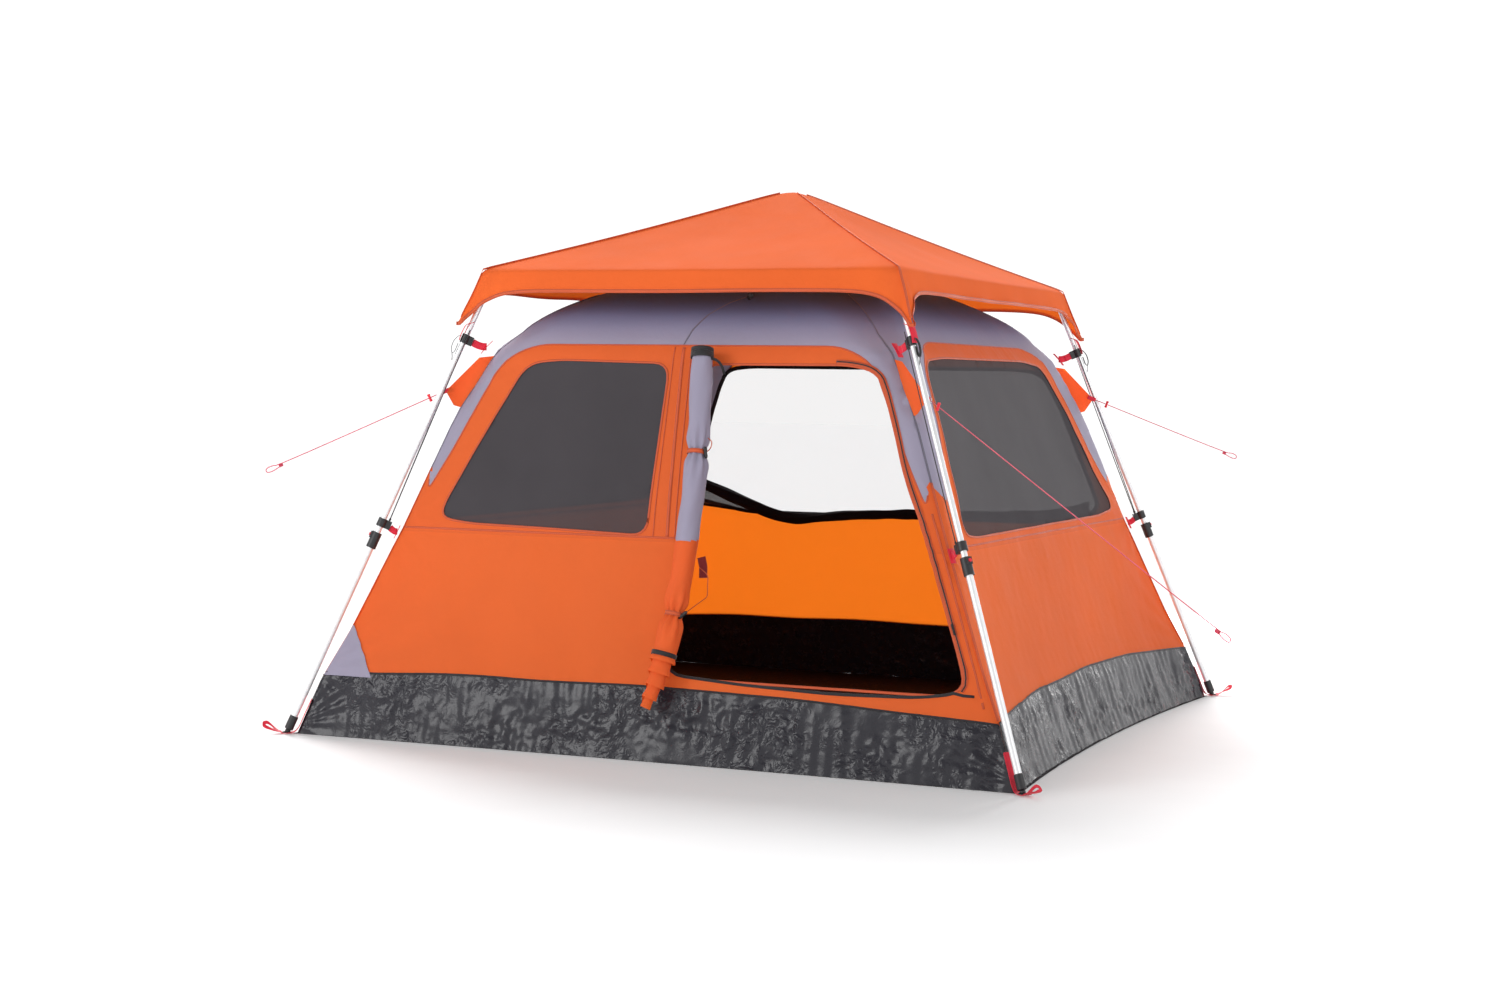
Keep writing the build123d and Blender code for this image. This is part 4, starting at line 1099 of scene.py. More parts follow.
def hem_height(side, u, half):
    """Height of the valance's edge: level in the middle, arched up beside each corner tip."""
    away = np.clip(half - np.abs(u) - 0.010, 0, None)
    return (HEM_MID + 0.003 * waves(u, u * 0, 0.6, 40 + len(side), 3)
            - (HEM_MID - HEM_TIP) * np.exp(-away / HEM_REACH))


def side_point(side, u, distance, z):
    axis, way = SIDES[side]
    point = np.zeros(np.shape(u) + (3,))
    point[..., axis] = u
    point[..., 1 - axis] = way * distance
    point[..., 2] = z
    return point


def fly_side(side):
    """Rows of points from the valance's edge over the eave to the apex, for one side of the fly."""
    half, depth = eave_half(side)
    lean_along, lean_out = (LEAN_X, LEAN_Y) if SIDES[side][0] == 0 else (LEAN_Y, LEAN_X)
    shares = np.sin(np.linspace(-math.pi / 2, math.pi / 2, FLY_COLUMNS))
    middle = np.clip(1 - shares ** 2, 0, 1)
    seed = 50 + len(side)
    rows = []
    for down in np.linspace(1, 0, VALANCE_ROWS, endpoint=False):
        z = EAVE_Z - (EAVE_Z - hem_height(side, shares * half, half)) * down
        drop = EAVE_Z - z
        u = shares * (half + lean_along * drop)
        pull = 0.0035 * np.sin((half - np.abs(u)) * 95) * np.exp(-(half - np.abs(u)) / 0.07) * down
        flutter = 0.0045 * waves(u, z, 0.34, seed) * down * middle
        rows.append(side_point(side, u, depth + lean_out * drop * (1 - 0.25 * middle) + pull + flutter, z))
    blunt = 0.045
    for t in np.linspace(0, 1, ROOF_ROWS):
        rise = (1 - math.sqrt((1 - t) ** 2 + blunt ** 2)) / (1 - blunt)
        z = EAVE_Z + (APEX_Z - EAVE_Z) * rise - 0.008 * math.sin(math.pi * t)
        sag = 0.011 * math.sin(math.pi * min(1, t * 1.15)) * middle
        soft = 0.0022 * waves(shares * half * (1 - t) * 1.2, t * depth, 0.38,
                              seed + 3) * middle * math.sin(math.pi * t)
        eave = 0.004 * middle * math.exp(-t / 0.05)
        rows.append(side_point(side, shares * half * (1 - t), depth * (1 - t), z - sag + soft - eave))
    return np.array(rows)


def make_fly():
    build = Build()
    for side in SIDES:
        build.grid(facing(side, fly_side(side)))
    fly = build.make("fly_cloth", FLY_CLOTH, slot="orange_cloth")
    weld(fly, 0.0004)
    soften(fly, EAVE_Z - 0.02, EAVE_Z + 0.02, 3)
    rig.replaces(fly, "fly_canopy")
    hem = Build()
    for side in SIDES:
        edge = fly_side(side)[0]
        inner = edge + np.array((0, 0, 0.006))
        hem.ribbon(inner, (0, 0, 1), 0.012, 0.0018)
    hips = Build()
    for corner, (sx, sy) in CORNERS.items():
        side = "front" if sy < 0 else "back"
        line = fly_side(side)[2:, 0 if sx < 0 else -1]
        line = line[:-2] + np.array((0, 0, 0.0010))
        hips.ribbon(line, np.cross(np.gradient(line, axis=0), out_of(corner)), 0.010, 0.0018)
    hem.make("fly_hem", ORANGE_SEAM, slot="orange_cloth")
    hips.make("fly_hip_seams", ORANGE_SEAM, slot="orange_cloth")
    return fly


def weld(obj, gap):
    """Joins vertices that lie on each other."""
    mesh = bmesh.new()
    mesh.from_mesh(obj.data)
    bmesh.ops.remove_doubles(mesh, verts=mesh.verts, dist=gap)
    mesh.to_mesh(obj.data)
    mesh.free()


def soften(obj, low, high, times):
    """Evens out the vertices between two heights."""
    mesh = bmesh.new()
    mesh.from_mesh(obj.data)
    band = [v for v in mesh.verts if low < v.co.z < high and not v.is_boundary]
    for _ in range(times):
        bmesh.ops.smooth_vert(mesh, verts=band, factor=0.5, use_axis_x=True, use_axis_y=True, use_axis_z=True)
    mesh.to_mesh(obj.data)
    mesh.free()


# ---- rolled door --------------------------------------------------------------------------------------------
DOOR_R = 0.037
DOOR_OFF = 0.046         # roll's middle in front of the wall
DOOR_ROUTE = [(0.084, 1.246), (0.112, 0.900), (0.106, 0.480), (0.058, 0.168)]
DOOR_CHANGE_Z = 0.668    # the door's cloth is grey above this and orange below
DOOR_ROWS, DOOR_TURNS, PER_TURN = 170, 4.6, 44
TIES = [(0.29, 0.40), (0.74, 0.44)]      # place along the roll, and how far it is drawn in
TIE_LEANS = [(-0.05, -0.1, 1.0), (0.78, -0.1, 0.60)]                    # each toggle's direction
TIE_LOOPS = [  # each tie's elastic beyond its toggle: right, back, up from the roll's side
    [(0.024, 0.002, 0.012), (0.028, 0.006, 0.034), (0.012, 0.008, 0.044)],
    [(0.040, 0.030, 0.030), (0.062, 0.060, 0.052), (0.060, 0.066, 0.118), (0.034, 0.062, 0.140)],
]


def door_line():
    """Centre line of the roll, as points spaced evenly from its top, and its length."""
    route = [(x, -float(body_half(z)[1]) - DOOR_OFF, z) for x, z in DOOR_ROUTE]
    fine = resample(rounded(route, 0.22, closed=False, steps=12), 0.004)
    along = run_along(fine)
    at = np.linspace(0, along[-1], DOOR_ROWS)
    line = np.stack([np.interp(at, along, fine[:, k]) for k in range(3)], axis=1)
    line[:, 0] -= 0.026 * step(np.linspace(0, 1, DOOR_ROWS), 0.86, 1.06) ** 1.5   # the low end hangs askew
    return line, along[-1]


def roll_size(share, length):
    """Radius of the roll at a share of its length, and how strongly it is gathered there."""
    size, gather = np.ones_like(share), np.zeros_like(share)
    for place, draw in TIES:
        away = (share - place) * length
        size = size - draw * bump(away, 0, 0.026) + 0.03 * bump(away, 0.08, 0.04)
        gather = gather + bump(away, 0, 0.060)
    size = size * (0.90 + 0.10 * step(share, 0, 0.12)) + 0.05 * np.sin(share * 23) * np.sin(share * 7)
    return DOOR_R * size, gather


def roll_frames(line):
    ways = tangents(line)
    side = np.cross(ways, np.array((0, -1.0, 0)))
    side /= np.linalg.norm(side, axis=1)[:, None]
    return ways, side, np.cross(ways, side)


def make_door():
    """The door's cloth, wound up and gathered at its ties."""
    line, length = door_line()
    share = np.linspace(0, 1, DOOR_ROWS)
    size, gather = roll_size(share, length)
    _, side, other = roll_frames(line)
    angle = np.linspace(0, DOOR_TURNS * 2 * math.pi, int(DOOR_TURNS * PER_TURN))
    layer = angle / angle[-1]
    rows = []
    for k in range(DOOR_ROWS):
        folds = 1 + gather[k] * 0.20 * np.sin(angle * 7 + 2.0) + 0.030 * np.sin(angle * 3 + share[k] * 9)
        folds = folds + 0.018 * np.sin(angle * 5 - share[k] * 31) + 0.02 * np.sin(share[k] * 60 + angle)
        r = size[k] * (1 - 0.60 * layer) * folds
        turn = angle + 0.9 + 0.5 * share[k]
        ring = line[k] + r[:, None] * (np.cos(turn)[:, None] * side[k] + np.sin(turn)[:, None] * other[k])
        rows.append(ring)
    rows = np.array(rows)
    # The roll's low end has slipped out like a telescope: inner layers reach further than the outer ones.
    whole = np.floor(layer * DOOR_TURNS)
    ends = np.clip(0.872 + 0.034 * (whole + step(layer * DOOR_TURNS - whole, 0.75, 1.0)), 0, 1)
    lip = 1 + 0.18 * bump(share, 1.0, 0.012)
    slipped = np.empty_like(rows)
    for j, end in enumerate(ends):
        for k in range(3):
            middle = np.interp(share * end, share, line[:, k])
            slipped[:, j, k] = middle + (np.interp(share * end, share, rows[:, j, k]) - middle) * lip
    build = Build()
    build.grid(slipped)
    middles = (slipped[:-1, :-1, 2] + slipped[1:, 1:, 2]).ravel() / 2
    build.picks = list(np.where(middles > DOOR_CHANGE_Z, 1, 0))
    door = build.make("rolled_door_cloth", [CLOTH, GREY_CLOTH], slot="orange_cloth")
    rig.replaces(door, "rolled_door")
    return door


def ring_round(build, place, radius, width, thick):
    """A band round the roll; returns its middle."""
    line, _ = door_line()
    ways, side, other = roll_frames(line)
    k = int(place * (DOOR_ROWS - 1))
    build.ribbon(circle(line[k], side[k], other[k], radius, ring_turns(40)), ways[k], width, thick)
    return line[k]


def make_ties():
    """Two ties with toggles round the rolled door, and the black straps at its ends."""
    bands, toggles, caps = Build(), Build(), Build()
    line, _ = door_line()
    for k, (place, draw) in enumerate(TIES):
        size = DOOR_R * (1 - draw)
        at = ring_round(bands, place, size + 0.0065, 0.014, 0.0016)
        end = at + np.array((size + 0.012, -0.008, 0.0))
        lean = np.array(TIE_LEANS[k]) / np.linalg.norm(TIE_LEANS[k])
        stick = [end + lean * s for s in np.linspace(-0.018, 0.018, 9)]
        toggles.tube(stick, [0.0030, 0.0054, 0.0060, 0.0056, 0.0048, 0.0056, 0.0060, 0.0054, 0.0030], 12)
        # The tie's elastic: a small loop on the upper one, hooked over the inner tab on the lower one.
        loop = [at + np.array((size, 0, 0)), end]
        for right, back, rise in TIE_LOOPS[k]:
            loop.append(at + np.array((size + right, back, rise)))
        bands.tube(rounded(loop, 0.010, closed=False), 0.0015, 6)
    ring_round(caps, 0.853, DOOR_R * 1.045, 0.014, 0.0014)
    for place, radius in [(0.004, 0.0345), (0.013, 0.0352), (0.022, 0.0356)]:
        ring_round(caps, place, radius, 0.0125, 0.0016)
    top = line[int(0.02 * (DOOR_ROWS - 1))] + np.array((DOOR_R * 0.8, -0.006, -0.004))
    strap = [top, top + np.array((0.022, 0.004, -0.006)), top + np.array((0.034, 0.012, -0.022)),
             top + np.array((0.040, 0.020, -0.050))]
    caps.ribbon(rounded(strap, 0.01, closed=False), (0.8, 0, 0.6), 0.009, 0.0012)
    tied = bands.make("door_tie_loops", ORANGE_SEAM, slot="orange_cloth")
    caps.make("door_straps", BLACK_WEBBING, slot="black_webbing")
    toggles.make("door_toggles", BLACK_PLASTIC, slot="black_plastic")
    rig.replaces(tied, "door_ties")


# ---- back window's roll, door sill, inner tab ---------------------------------------------------------------
def make_back_roll():
    """The back window's cover, rolled down along its sill, drooping on its left."""
    route = [(-0.850, 0.775), (-0.715, 0.724), (-0.600, 0.680), (-0.465, 0.630), (-0.370, 0.616),
             (-0.167, 0.642),
             (0.100, 0.655), (0.430, 0.655), (0.700, 0.676), (0.800, 0.705)]
    fine = resample(rounded(route, 0.08, closed=False), 0.010)
    size = (0.018 + 0.004 * (1 - step(fine[:, 0], -0.5, -0.3))
            + 0.0015 * waves(fine[:, 0] * 2, fine[:, 1], 0.20, 71))
    centre = wall_point("back", fine[:, 0], fine[:, 1], -0.026)
    build = Build()
    turns = ring_turns(26, False)
    rows = []
    for k, (point, r) in enumerate(zip(centre, size)):
        flute = 1 + 0.10 * np.sin(turns * 5 + k * 0.11) + 0.06 * np.sin(turns * 2 - k * 0.05)
        rows.append(point + np.stack([0 * turns, 0.72 * r * np.cos(turns) * flute,
                                      r * np.sin(turns) * flute], 1))
    build.grid(rows, closed=True, caps=True)
    # The cover's free corner hangs between the roll and the sill.
    us = np.linspace(-0.83, -0.47, 40)
    tops = np.interp(us, [-0.83, -0.47], [0.762, 0.636])
    sill = np.interp(us, [-0.83, -0.47], [0.668, 0.630])
    flap = [wall_point("back", us, tops + (sill - tops) * share, -0.010 + 0.004 * np.sin(us * 50 + share * 3))
            for share in np.linspace(0, 1, 10)]
    build.grid(flap, pick=1)
    build.ribbon(wall_point("back", us, sill, -0.014), (0, 0, 1), 0.009, 0.002)
    return build.make("back_window_roll", [ROLL_MESH, FLAP_MESH], slot="window_mesh")


def in_order(points, axis):
    return points[np.argsort(points[:, axis])]


def make_bindings():
    """Black bindings: inside the back window, along the door's sill and inside the doorway's head."""
    build = Build()
    ring = window_ring("back")
    wall_ribbon(build, "back", ring, 0.016, 0.0016, -0.0026)
    wall_ribbon(build, "back", offset_line(ring, 0.004), 0.006, 0.0030, -0.0040)
    for side in ("front", "left", "right"):
        wall_ribbon(build, side, window_ring(side), 0.005, 0.0014, -0.0012)
    door = doorway_outline()
    # The sill's zip tape, longer than the sill: its loose end lies on the wall.
    sill = in_order(door[door[:, 1] < 0.30], 0)
    sill = np.vstack([sill[sill[:, 0] < 0.99], [(1.020, 0.258), (1.052, 0.257)]])
    wall_ribbon(build, "front", sill, 0.009, 0.0020, 0.0016)
    wall_ribbon(build, "front", in_order(door[door[:, 1] > 1.15], 0), 0.006, 0.0012, -0.0030)
    build.make("black_bindings", BLACK_BINDING, slot="black_webbing")


def make_zip():
    """Zip tape with its coil on the doorway's right edge."""
    build = Build()
    door = doorway_outline()
    out = offset_line(in_order(door[(door[:, 0] > 0.5) & (door[:, 1] > 0.27)], 1), -0.010)
    wall_ribbon(build, "front", out, 0.014, 0.0010, 0.0018, pick=0)
    wall_ribbon(build, "front", out, 0.0045, 0.0022, 0.0026, pick=1)
    build.make("door_zip_tape", [ORANGE_SEAM, BLACK_BINDING], slot="orange_cloth")


SLIDER_AT = (0.969, 0.446)     # on the front wall: along, height


def make_slider():
    """Zip slider: humped body on the coil, and a tape pull that hangs from its bail."""
    along, out = np.array(Vector(JOINTS["door_zip"]["axis"]).normalized()), np.array((0, -1.0, 0))
    across = np.cross(along, out)
    at = wall_point("front", *SLIDER_AT, 0.0035) + along * 0.008
    build = Build()
    rows = []
    for a in np.linspace(-0.0070, 0.0070, 11):
        wide = 0.0046 * math.sqrt(max(0.08, 1 - (a / 0.0078) ** 2))
        hump = 0.0046 * (1 - 0.35 * (a / 0.007) ** 2)
        rows.append([at + along * a + across * wide * math.cos(t) + out * (0.0004 + hump * 0.5 * (1 + math.sin(t)))
                     for t in ring_turns(16, False)])
    build.grid(rows, closed=True, caps=True)
    bail = [at + along * (0.004 * math.cos(t)) + out * (0.0042 + 0.0022 * math.sin(t))
            for t in np.linspace(0, math.pi, 9)]
    build.tube(bail, 0.0007, 8)
    route = [(0.000, 0.0058), (0.008, 0.0056), (0.020, 0.0052), (0.029, 0.0050)]
    pull = [at - along * a + out * b for a, b in route]
    build.ribbon(rounded(pull, 0.006, closed=False), across, 0.0065, 0.0014, pick=1)
    slider = build.make("door_zip_slider", [BLACK_PLASTIC, BLACK_WEBBING], body="zip_slider",
                        slot="black_plastic")
    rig.replaces(slider, "zip_slider")


def make_inner_tab():
    """Dark red loop inside the doorway's low left side, for the tie."""
    build = Build()
    at = wall_point("front", np.array([0.128, 0.138, 0.142]), np.array([0.612, 0.584, 0.550]), -0.030)
    build.ribbon(resample(at, 0.006), (1, 0.2, 0.1), 0.026, 0.0016)
    build.make("door_inner_tab", DARK_RED_WEBBING, slot="red_webbing")


# ---- legs: where things are along them ----------------------------------------------------------------------
def leg_frame(corner, s):
    """Point at distance s up a leg, with the directions up, inwards and sideways."""
    sx, sy = CORNERS[corner]
    up = Vector((-sx * LEAN_X, -sy * LEAN_Y, 1)).normalized()
    point = leg_point(corner, 0) + up * s
    flat_in = -out_of(corner)
    inward = (flat_in - up * flat_in.dot(up)).normalized()
    return point, up, inward, up.cross(inward)


# Distances up a leg from its foot.
RING_S, RING_LEN = 0.730, 0.028
CLIP_S, CLIP_LEN = 1.380, 0.030
CORD_TOP_S = 1.428


def make_straps():
    """Red webbing: from the body's corner edges to the clips, and from the fly's tips to the pole clips."""
    build = Build()
    for corner in CORNERS:
        for s, reach, width in [(RING_S + 0.010, 0.0290, 0.021), (CLIP_S + CLIP_LEN / 2, 0.0265, 0.024)]:
            point, up, inward, lateral = leg_frame(corner, s)
            lug = point + inward * reach
            edge = body_corner(corner, lug.z - 0.014, 0.002)
            droop = Vector((0, 0, -0.004))
            line = [lug, lug.lerp(edge, 0.3) + droop, lug.lerp(edge, 0.7) + droop, edge]
            build.ribbon(rounded(line, 0.01, closed=False), up, width, 0.0018)
            # A second ply where the webbing is sewn back on itself, and its foot on the body's edge.
            fold = [lug.lerp(edge, 0.05) + lateral * 0.002, lug.lerp(edge, 0.5) + droop + lateral * 0.002]
            build.ribbon(resample(fold, 0.006), up, width * 0.94, 0.0014)
            foot = [body_corner(corner, edge.z + dz, 0.0025) for dz in (0.020, 0.0, -0.022)]
            build.ribbon(resample(foot, 0.006), lateral, 0.020, 0.0016)
        # Fly tab: down the outside of the pole and round over the clip.
        point, up, inward, lateral = leg_frame(corner, CLIP_S + CLIP_LEN)
        spots = [(0.046, 0.006), (0.030, -0.0155), (0.012, -0.0175), (-0.012, -0.0175), (-0.026, -0.0150)]
        line = [point + up * a + inward * b for a, b in spots]
        build.ribbon(rounded(line, 0.012, closed=False), lateral, 0.024, 0.0018)
    straps = build.make("body_straps", RED_WEBBING, slot="red_webbing")
    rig.replaces(straps, "webbing_straps")


def make_clip_tails():
    """The loose end of each pole clip's strap: a teardrop of tape outside the pole, on a thin elastic."""
    for corner in CORNERS:
        build = Build()
        point, up, inward, lateral = leg_frame(corner, CLIP_S + CLIP_LEN / 2)
        loop = [(0.004, -0.0135), (0.002, -0.022), (-0.018, -0.031), (-0.045, -0.029), (-0.060, -0.019),
                (-0.050, -0.0135), (-0.022, -0.0145)]
        line = [point + up * a + inward * b for a, b in loop]
        build.ribbon(rounded(line, 0.015, closed=False), lateral, 0.009, 0.0016)
        tail = [point + up * a + inward * b for a, b in [(-0.058, -0.020), (-0.070, -0.0135),
                                                         (-0.080, -0.0112)]]
        build.tube(rounded(tail, 0.006, closed=False), 0.0011, 8)
        build.make(f"clip_tail_{corner}", BLACK_WEBBING, body=f"upper_leg_{corner}", slot="black_webbing")


def make_roof_hook():
    """Black hook that joins the fly's front edge to the inner roof."""
    build = Build()
    at = wall_point("front", 0.135, 1.414, 0.004)
    out = np.array((0, -1.0, 0.25))
    strap = [at + out * 0.001, at + out * 0.006 + np.array((0.006, 0, 0.010)),
             at + out * 0.010 + np.array((0.016, 0, 0.014))]
    build.ribbon(rounded(strap, 0.004, closed=False), (0.4, 0, -0.9), 0.016, 0.0022)
    hook = [at + out * 0.008 + np.array((0.010 + 0.011 * math.cos(t), 0, 0.010 + 0.009 * math.sin(t)))
            for t in np.linspace(-2.6, 1.9, 16)]
    build.tube(hook, 0.0026, 10)
    build.make("roof_hook", BLACK_PLASTIC, slot="black_plastic")


def make_foot_straps():
    """Webbing from each low corner under the foot's pin to a peg loop."""
    for corner in CORNERS:
        foot = leg_point(corner, 0)
        out = out_of(corner)
        lateral = out.cross(Z_UP)
        route = [(-0.0795, 0.112), (-0.0560, 0.060), (-0.0400, 0.022), (-0.0270, 0.0060), (-0.0120, 0.0035),
                 (0.0150, 0.0030), (0.0400, 0.0055), (0.0600, 0.0120), (0.0760, 0.0150)]
        path = resample(rounded([foot + out * a + Z_UP * z for a, z in route], 0.012, closed=False), 0.002)
        along = run_along(path)
        pin = along[np.argmin(np.linalg.norm(path - np.array(foot + Z_UP * 0.003), axis=1))]
        end = along[-1]
        half = [(0, 0.012), (pin - 0.030, 0.012), (pin - 0.008, 0.0178), (pin + 0.010, 0.0178),
                (pin + 0.030, 0.0125),
                (end - 0.012, 0.0150), (end, 0.009)]
        outline = rounded(half + [(s, -w) for s, w in reversed(half)], 0.006)
        turns = ring_turns(22, False)
        eye = np.stack([pin + 0.0118 * np.cos(turns), 0.0118 * np.sin(turns)], axis=1)
        slot = np.stack([end - 0.024 + 0.014 * np.cos(turns), 0.0045 * np.sin(turns)], axis=1)
        flat, faces, _ = flat_patch(outline, 0.0035, [eye, slot])
        at = np.stack([np.interp(flat[:, 0], along, path[:, k]) for k in range(3)], axis=1)
        twist = 0.95 * step(flat[:, 0], pin + 0.018, end - 0.010)[:, None]
        lift = (0.004 + 0.016 * np.sin(twist)) * (twist > 0)
        verts = at + flat[:, 1:2] * (np.array(lateral) * np.cos(twist) + np.array(Z_UP) * np.sin(twist))
        verts = verts + np.array(Z_UP) * lift
        strap = piece(f"foot_strap_{corner}", verts, faces, RED_WEBBING, uvs=flat * (1, 28),
                      slot="red_webbing")
        thick = strap.modifiers.new("thickness", "SOLIDIFY")
        thick.thickness, thick.offset = 0.0016, 0
        build = Build()
        rim = circle(foot + Z_UP * 0.0045, (1, 0, 0), (0, 1, 0), 0.0125, ring_turns(33))
        build.tube(rim, 0.0020, 8, caps=False)
        build.make(f"foot_eyelet_{corner}", BLACK_PLASTIC, slot="black_plastic")


def make_tension_cords():
    """Two elastic strands beside each pole, from the fly's corner to the ring clip."""
    for corner in CORNERS:
        build = Build()
        top, up, inward, lateral = leg_frame(corner, CORD_TOP_S)
        low, _, _, _ = leg_frame(corner, RING_S + RING_LEN)
        for way in (-1, 1):
            start = top + lateral * (way * 0.0165) + inward * 0.003
            end = low + lateral * (way * 0.0045) + inward * 0.020
            run = np.linspace(0, 1, 40)[:, None]
            bow_out = 0.0025 * np.sin(run * math.pi) * way
            line = np.array(start) * (1 - run) + np.array(end) * run + bow_out * np.array(lateral)
            build.tube(line, 0.0016, 8)
            knot = [end + up * (0.010 * k / 6) for k in range(7)]
            build.tube(knot, [0.0016, 0.0030, 0.0034, 0.0028, 0.0034, 0.0028, 0.0016], 10)
        cords = build.make(f"elastic_{corner}", BLACK_ELASTIC, body=None, slot="black_webbing")
        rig.replaces(cords, f"tension_cord_{corner}")
        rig.blend(cords, f"upper_leg_{corner}", f"lower_leg_{corner}", start=tuple(top),
                 end=tuple(low + up * 0.012))


# ---- guy tabs and guy lines ---------------------------------------------------------------------------------
TAB_LOW, TAB_HIGH, TAB_TIP_Z = 1.062, 1.218, 1.108
TAB_REACH = 0.050
TAB_SIDE = 0.019
TENSIONER_AT = 0.048     # along the line from its start
GUY_SLOPE = {"fl": 25.0, "fr": 25.0, "br": 20.5}         # degrees below the level
GUY_SEEN = {"fl": 0.640, "fr": 1.425, "br": 0.615}       # from the tab to the loop's end
GUY_LOOP = 0.060
GUY_R = 0.0015


def beside(corner, amount):
    """Level offset to the side that each corner's tab leans to."""
    return out_of(corner).cross(Z_UP) * (amount * (-1 if corner in ("fr", "bl") else 1))


def make_guy_tabs():
    """Folded triangles of cloth on the body's corner edges, each with a webbing loop and a ring."""
    cloth, loops, rings = Build(), Build(), Build()
    for corner, (sx, sy) in CORNERS.items():
        tip = body_corner(corner, TAB_TIP_Z, TAB_REACH) + beside(corner, TAB_SIDE)
        top, low = body_corner(corner, TAB_HIGH, 0.001), body_corner(corner, TAB_LOW, 0.001)
        ridge = resample([top, tip, low], 0.012)
        for side, way in (("front" if sy < 0 else "back", sx), ("right" if sx > 0 else "left", sy)):
            heights = np.interp(np.linspace(0, 1, len(ridge)), [0, 1], [TAB_HIGH + 0.006, TAB_LOW - 0.006])
            edges = np.array([float(wall_edge(side, z)) for z in heights])
            reach = 0.003 * np.sin(np.linspace(0.10, math.pi - 0.10, len(ridge)))
            foot = wall_point(side, way * (edges - reach), heights, 0.0012)
            shares = np.linspace(0, 1, 12)[:, None, None]
            sheet = foot[None] * (1 - shares) + ridge[None] * shares
            hollow = (0.006 * np.sin(shares * math.pi)
                      * np.sin(np.linspace(0, math.pi, len(ridge)))[None, :, None])
            sheet = sheet - hollow * np.array(out_of(corner))
            cloth.grid(sheet)
        aim, tip_point = np.array(out_of(corner)) * 0.93 + np.array((0, 0, -0.36)), np.array(tip)
        loop = [tip_point + aim * a for a in (-0.022, -0.004, 0.010)]
        loops.ribbon(resample(loop, 0.004), (0, 0, 1), 0.014, 0.0028)
        rings.tube(circle(tip_point + aim * 0.013, aim, Z_UP, 0.0062, ring_turns(25)), 0.0011, 8, caps=False)
    tabs = cloth.make("guy_tab_cloth", CLOTH, slot="orange_cloth")
    weld(tabs, 0.0004)
    loops.make("guy_tab_loops", RED_WEBBING, slot="red_webbing")
    rings.make("guy_rings", POLE, slot="pole_metal")
    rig.replaces(tabs, "guy_tabs")


def smooth_route(points):
    """Points read from the NURBS spline that has these points as its controls."""
    curve = bpy.data.curves.new("route", "CURVE")
    curve.dimensions = "3D"
    curve.resolution_u = 14
    spline = curve.splines.new("NURBS")
    spline.points.add(len(points) - 1)
    for control, point in zip(spline.points, points):
        control.co = (*point, 1)
    spline.order_u = 3
    spline.use_endpoint_u = True
    holder = bpy.data.objects.new("route", curve)
    mesh = bpy.data.meshes.new_from_object(holder)
    line = np.array([v.co for v in mesh.vertices], float).reshape(-1, 3)
    bpy.data.meshes.remove(mesh)
    bpy.data.objects.remove(holder)
    bpy.data.curves.remove(curve)
    return line


def make_tensioner(corner, at, aim, lift):
    """Small red bar that grips the line: waisted, with a rib round each end."""
    across = aim.cross(lift)
    build = Build()
    profile = [(-0.0128, 0.0022), (-0.0122, 0.0040), (-0.0100, 0.0050), (-0.0080, 0.0044), (-0.0040, 0.0038),
               (0.0040, 0.0038), (0.0080, 0.0044), (0.0100, 0.0050), (0.0122, 0.0040), (0.0128, 0.0022)]
    middle = at + aim * 0.006
    rows = [circle(middle + lift * a, aim * 1.1, across, r, ring_turns(18, False)) for a, r in profile]
    build.grid(rows, closed=True, caps=True)
    for way in (-1, 1):
        hole = middle + lift * (way * 0.0062) + across * 0.0046
        build.tube(circle(hole, aim, lift, 0.0019, ring_turns(13)), 0.0007, 6, caps=False)
    bar = build.make(f"guy_tensioner_{corner}", RED_PLASTIC, body=f"tensioner_{corner}", slot="red_plastic")
    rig.replaces(bar, f"tensioner_{corner}")
    return bar


def make_guy_lines():
    """Three taut lines, each with a knotted loop at its far end and a tensioner."""
    for corner, slope in GUY_SLOPE.items():
        out = out_of(corner)
        turn = math.radians(slope)
        aim = out * math.cos(turn) - Z_UP * math.sin(turn)
        lift = out * math.sin(turn) + Z_UP * math.cos(turn)
        start = body_corner(corner, TAB_TIP_Z, TAB_REACH + 0.002) + beside(corner, TAB_SIDE)
        far = start + aim * (GUY_SEEN[corner] - GUY_LOOP)
        loop = [(0.022, 0.009), (0.046, 0.007), (0.046, -0.007), (0.022, -0.009), (-0.001, -0.0042)]
        line = smooth_route([start, far] + [far + aim * a + lift * b for a, b in loop])
        build = Build()
        build.tube(line, GUY_R, 10)
        rope = build.make(f"guy_rope_{corner}", RED_CORD, slot="red_cord")
        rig.replaces(rope, f"guy_line_{corner}")
        knot = Build()
        side = np.array(aim.cross(lift))
        for k in range(4):
            centre = np.array(far - aim * (0.001 + 0.0032 * k) - lift * 0.0021)
            turns = ring_turns(15)
            knot.tube(circle(centre, lift, side, 0.0042, turns) + np.outer(turns, aim) * 0.0026 / 6.28,
                      0.0013, 8)
        tied = knot.make(f"guy_knot_{corner}", RED_CORD, slot="red_cord")
        bar = make_tensioner(corner, start + aim * TENSIONER_AT, aim, lift)
        length = float(np.linalg.norm(np.diff(line, axis=0), axis=1).sum())
        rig.cord(rope, exit=tuple(start), length=round(length, 3), diameter=2 * GUY_R, far_end="knot",
                stiffness="limp", lay="taut", path=[tuple(p) for p in line],
                with_pieces=[tied, bar])
        for flat in (rope, tied, bar):
            flatten(flat)


# ---- motion, CAD nodes' materials, stage --------------------------------------------------------------------
LIES_AT = (0, 0, 0.004)
KEEP = 0.012


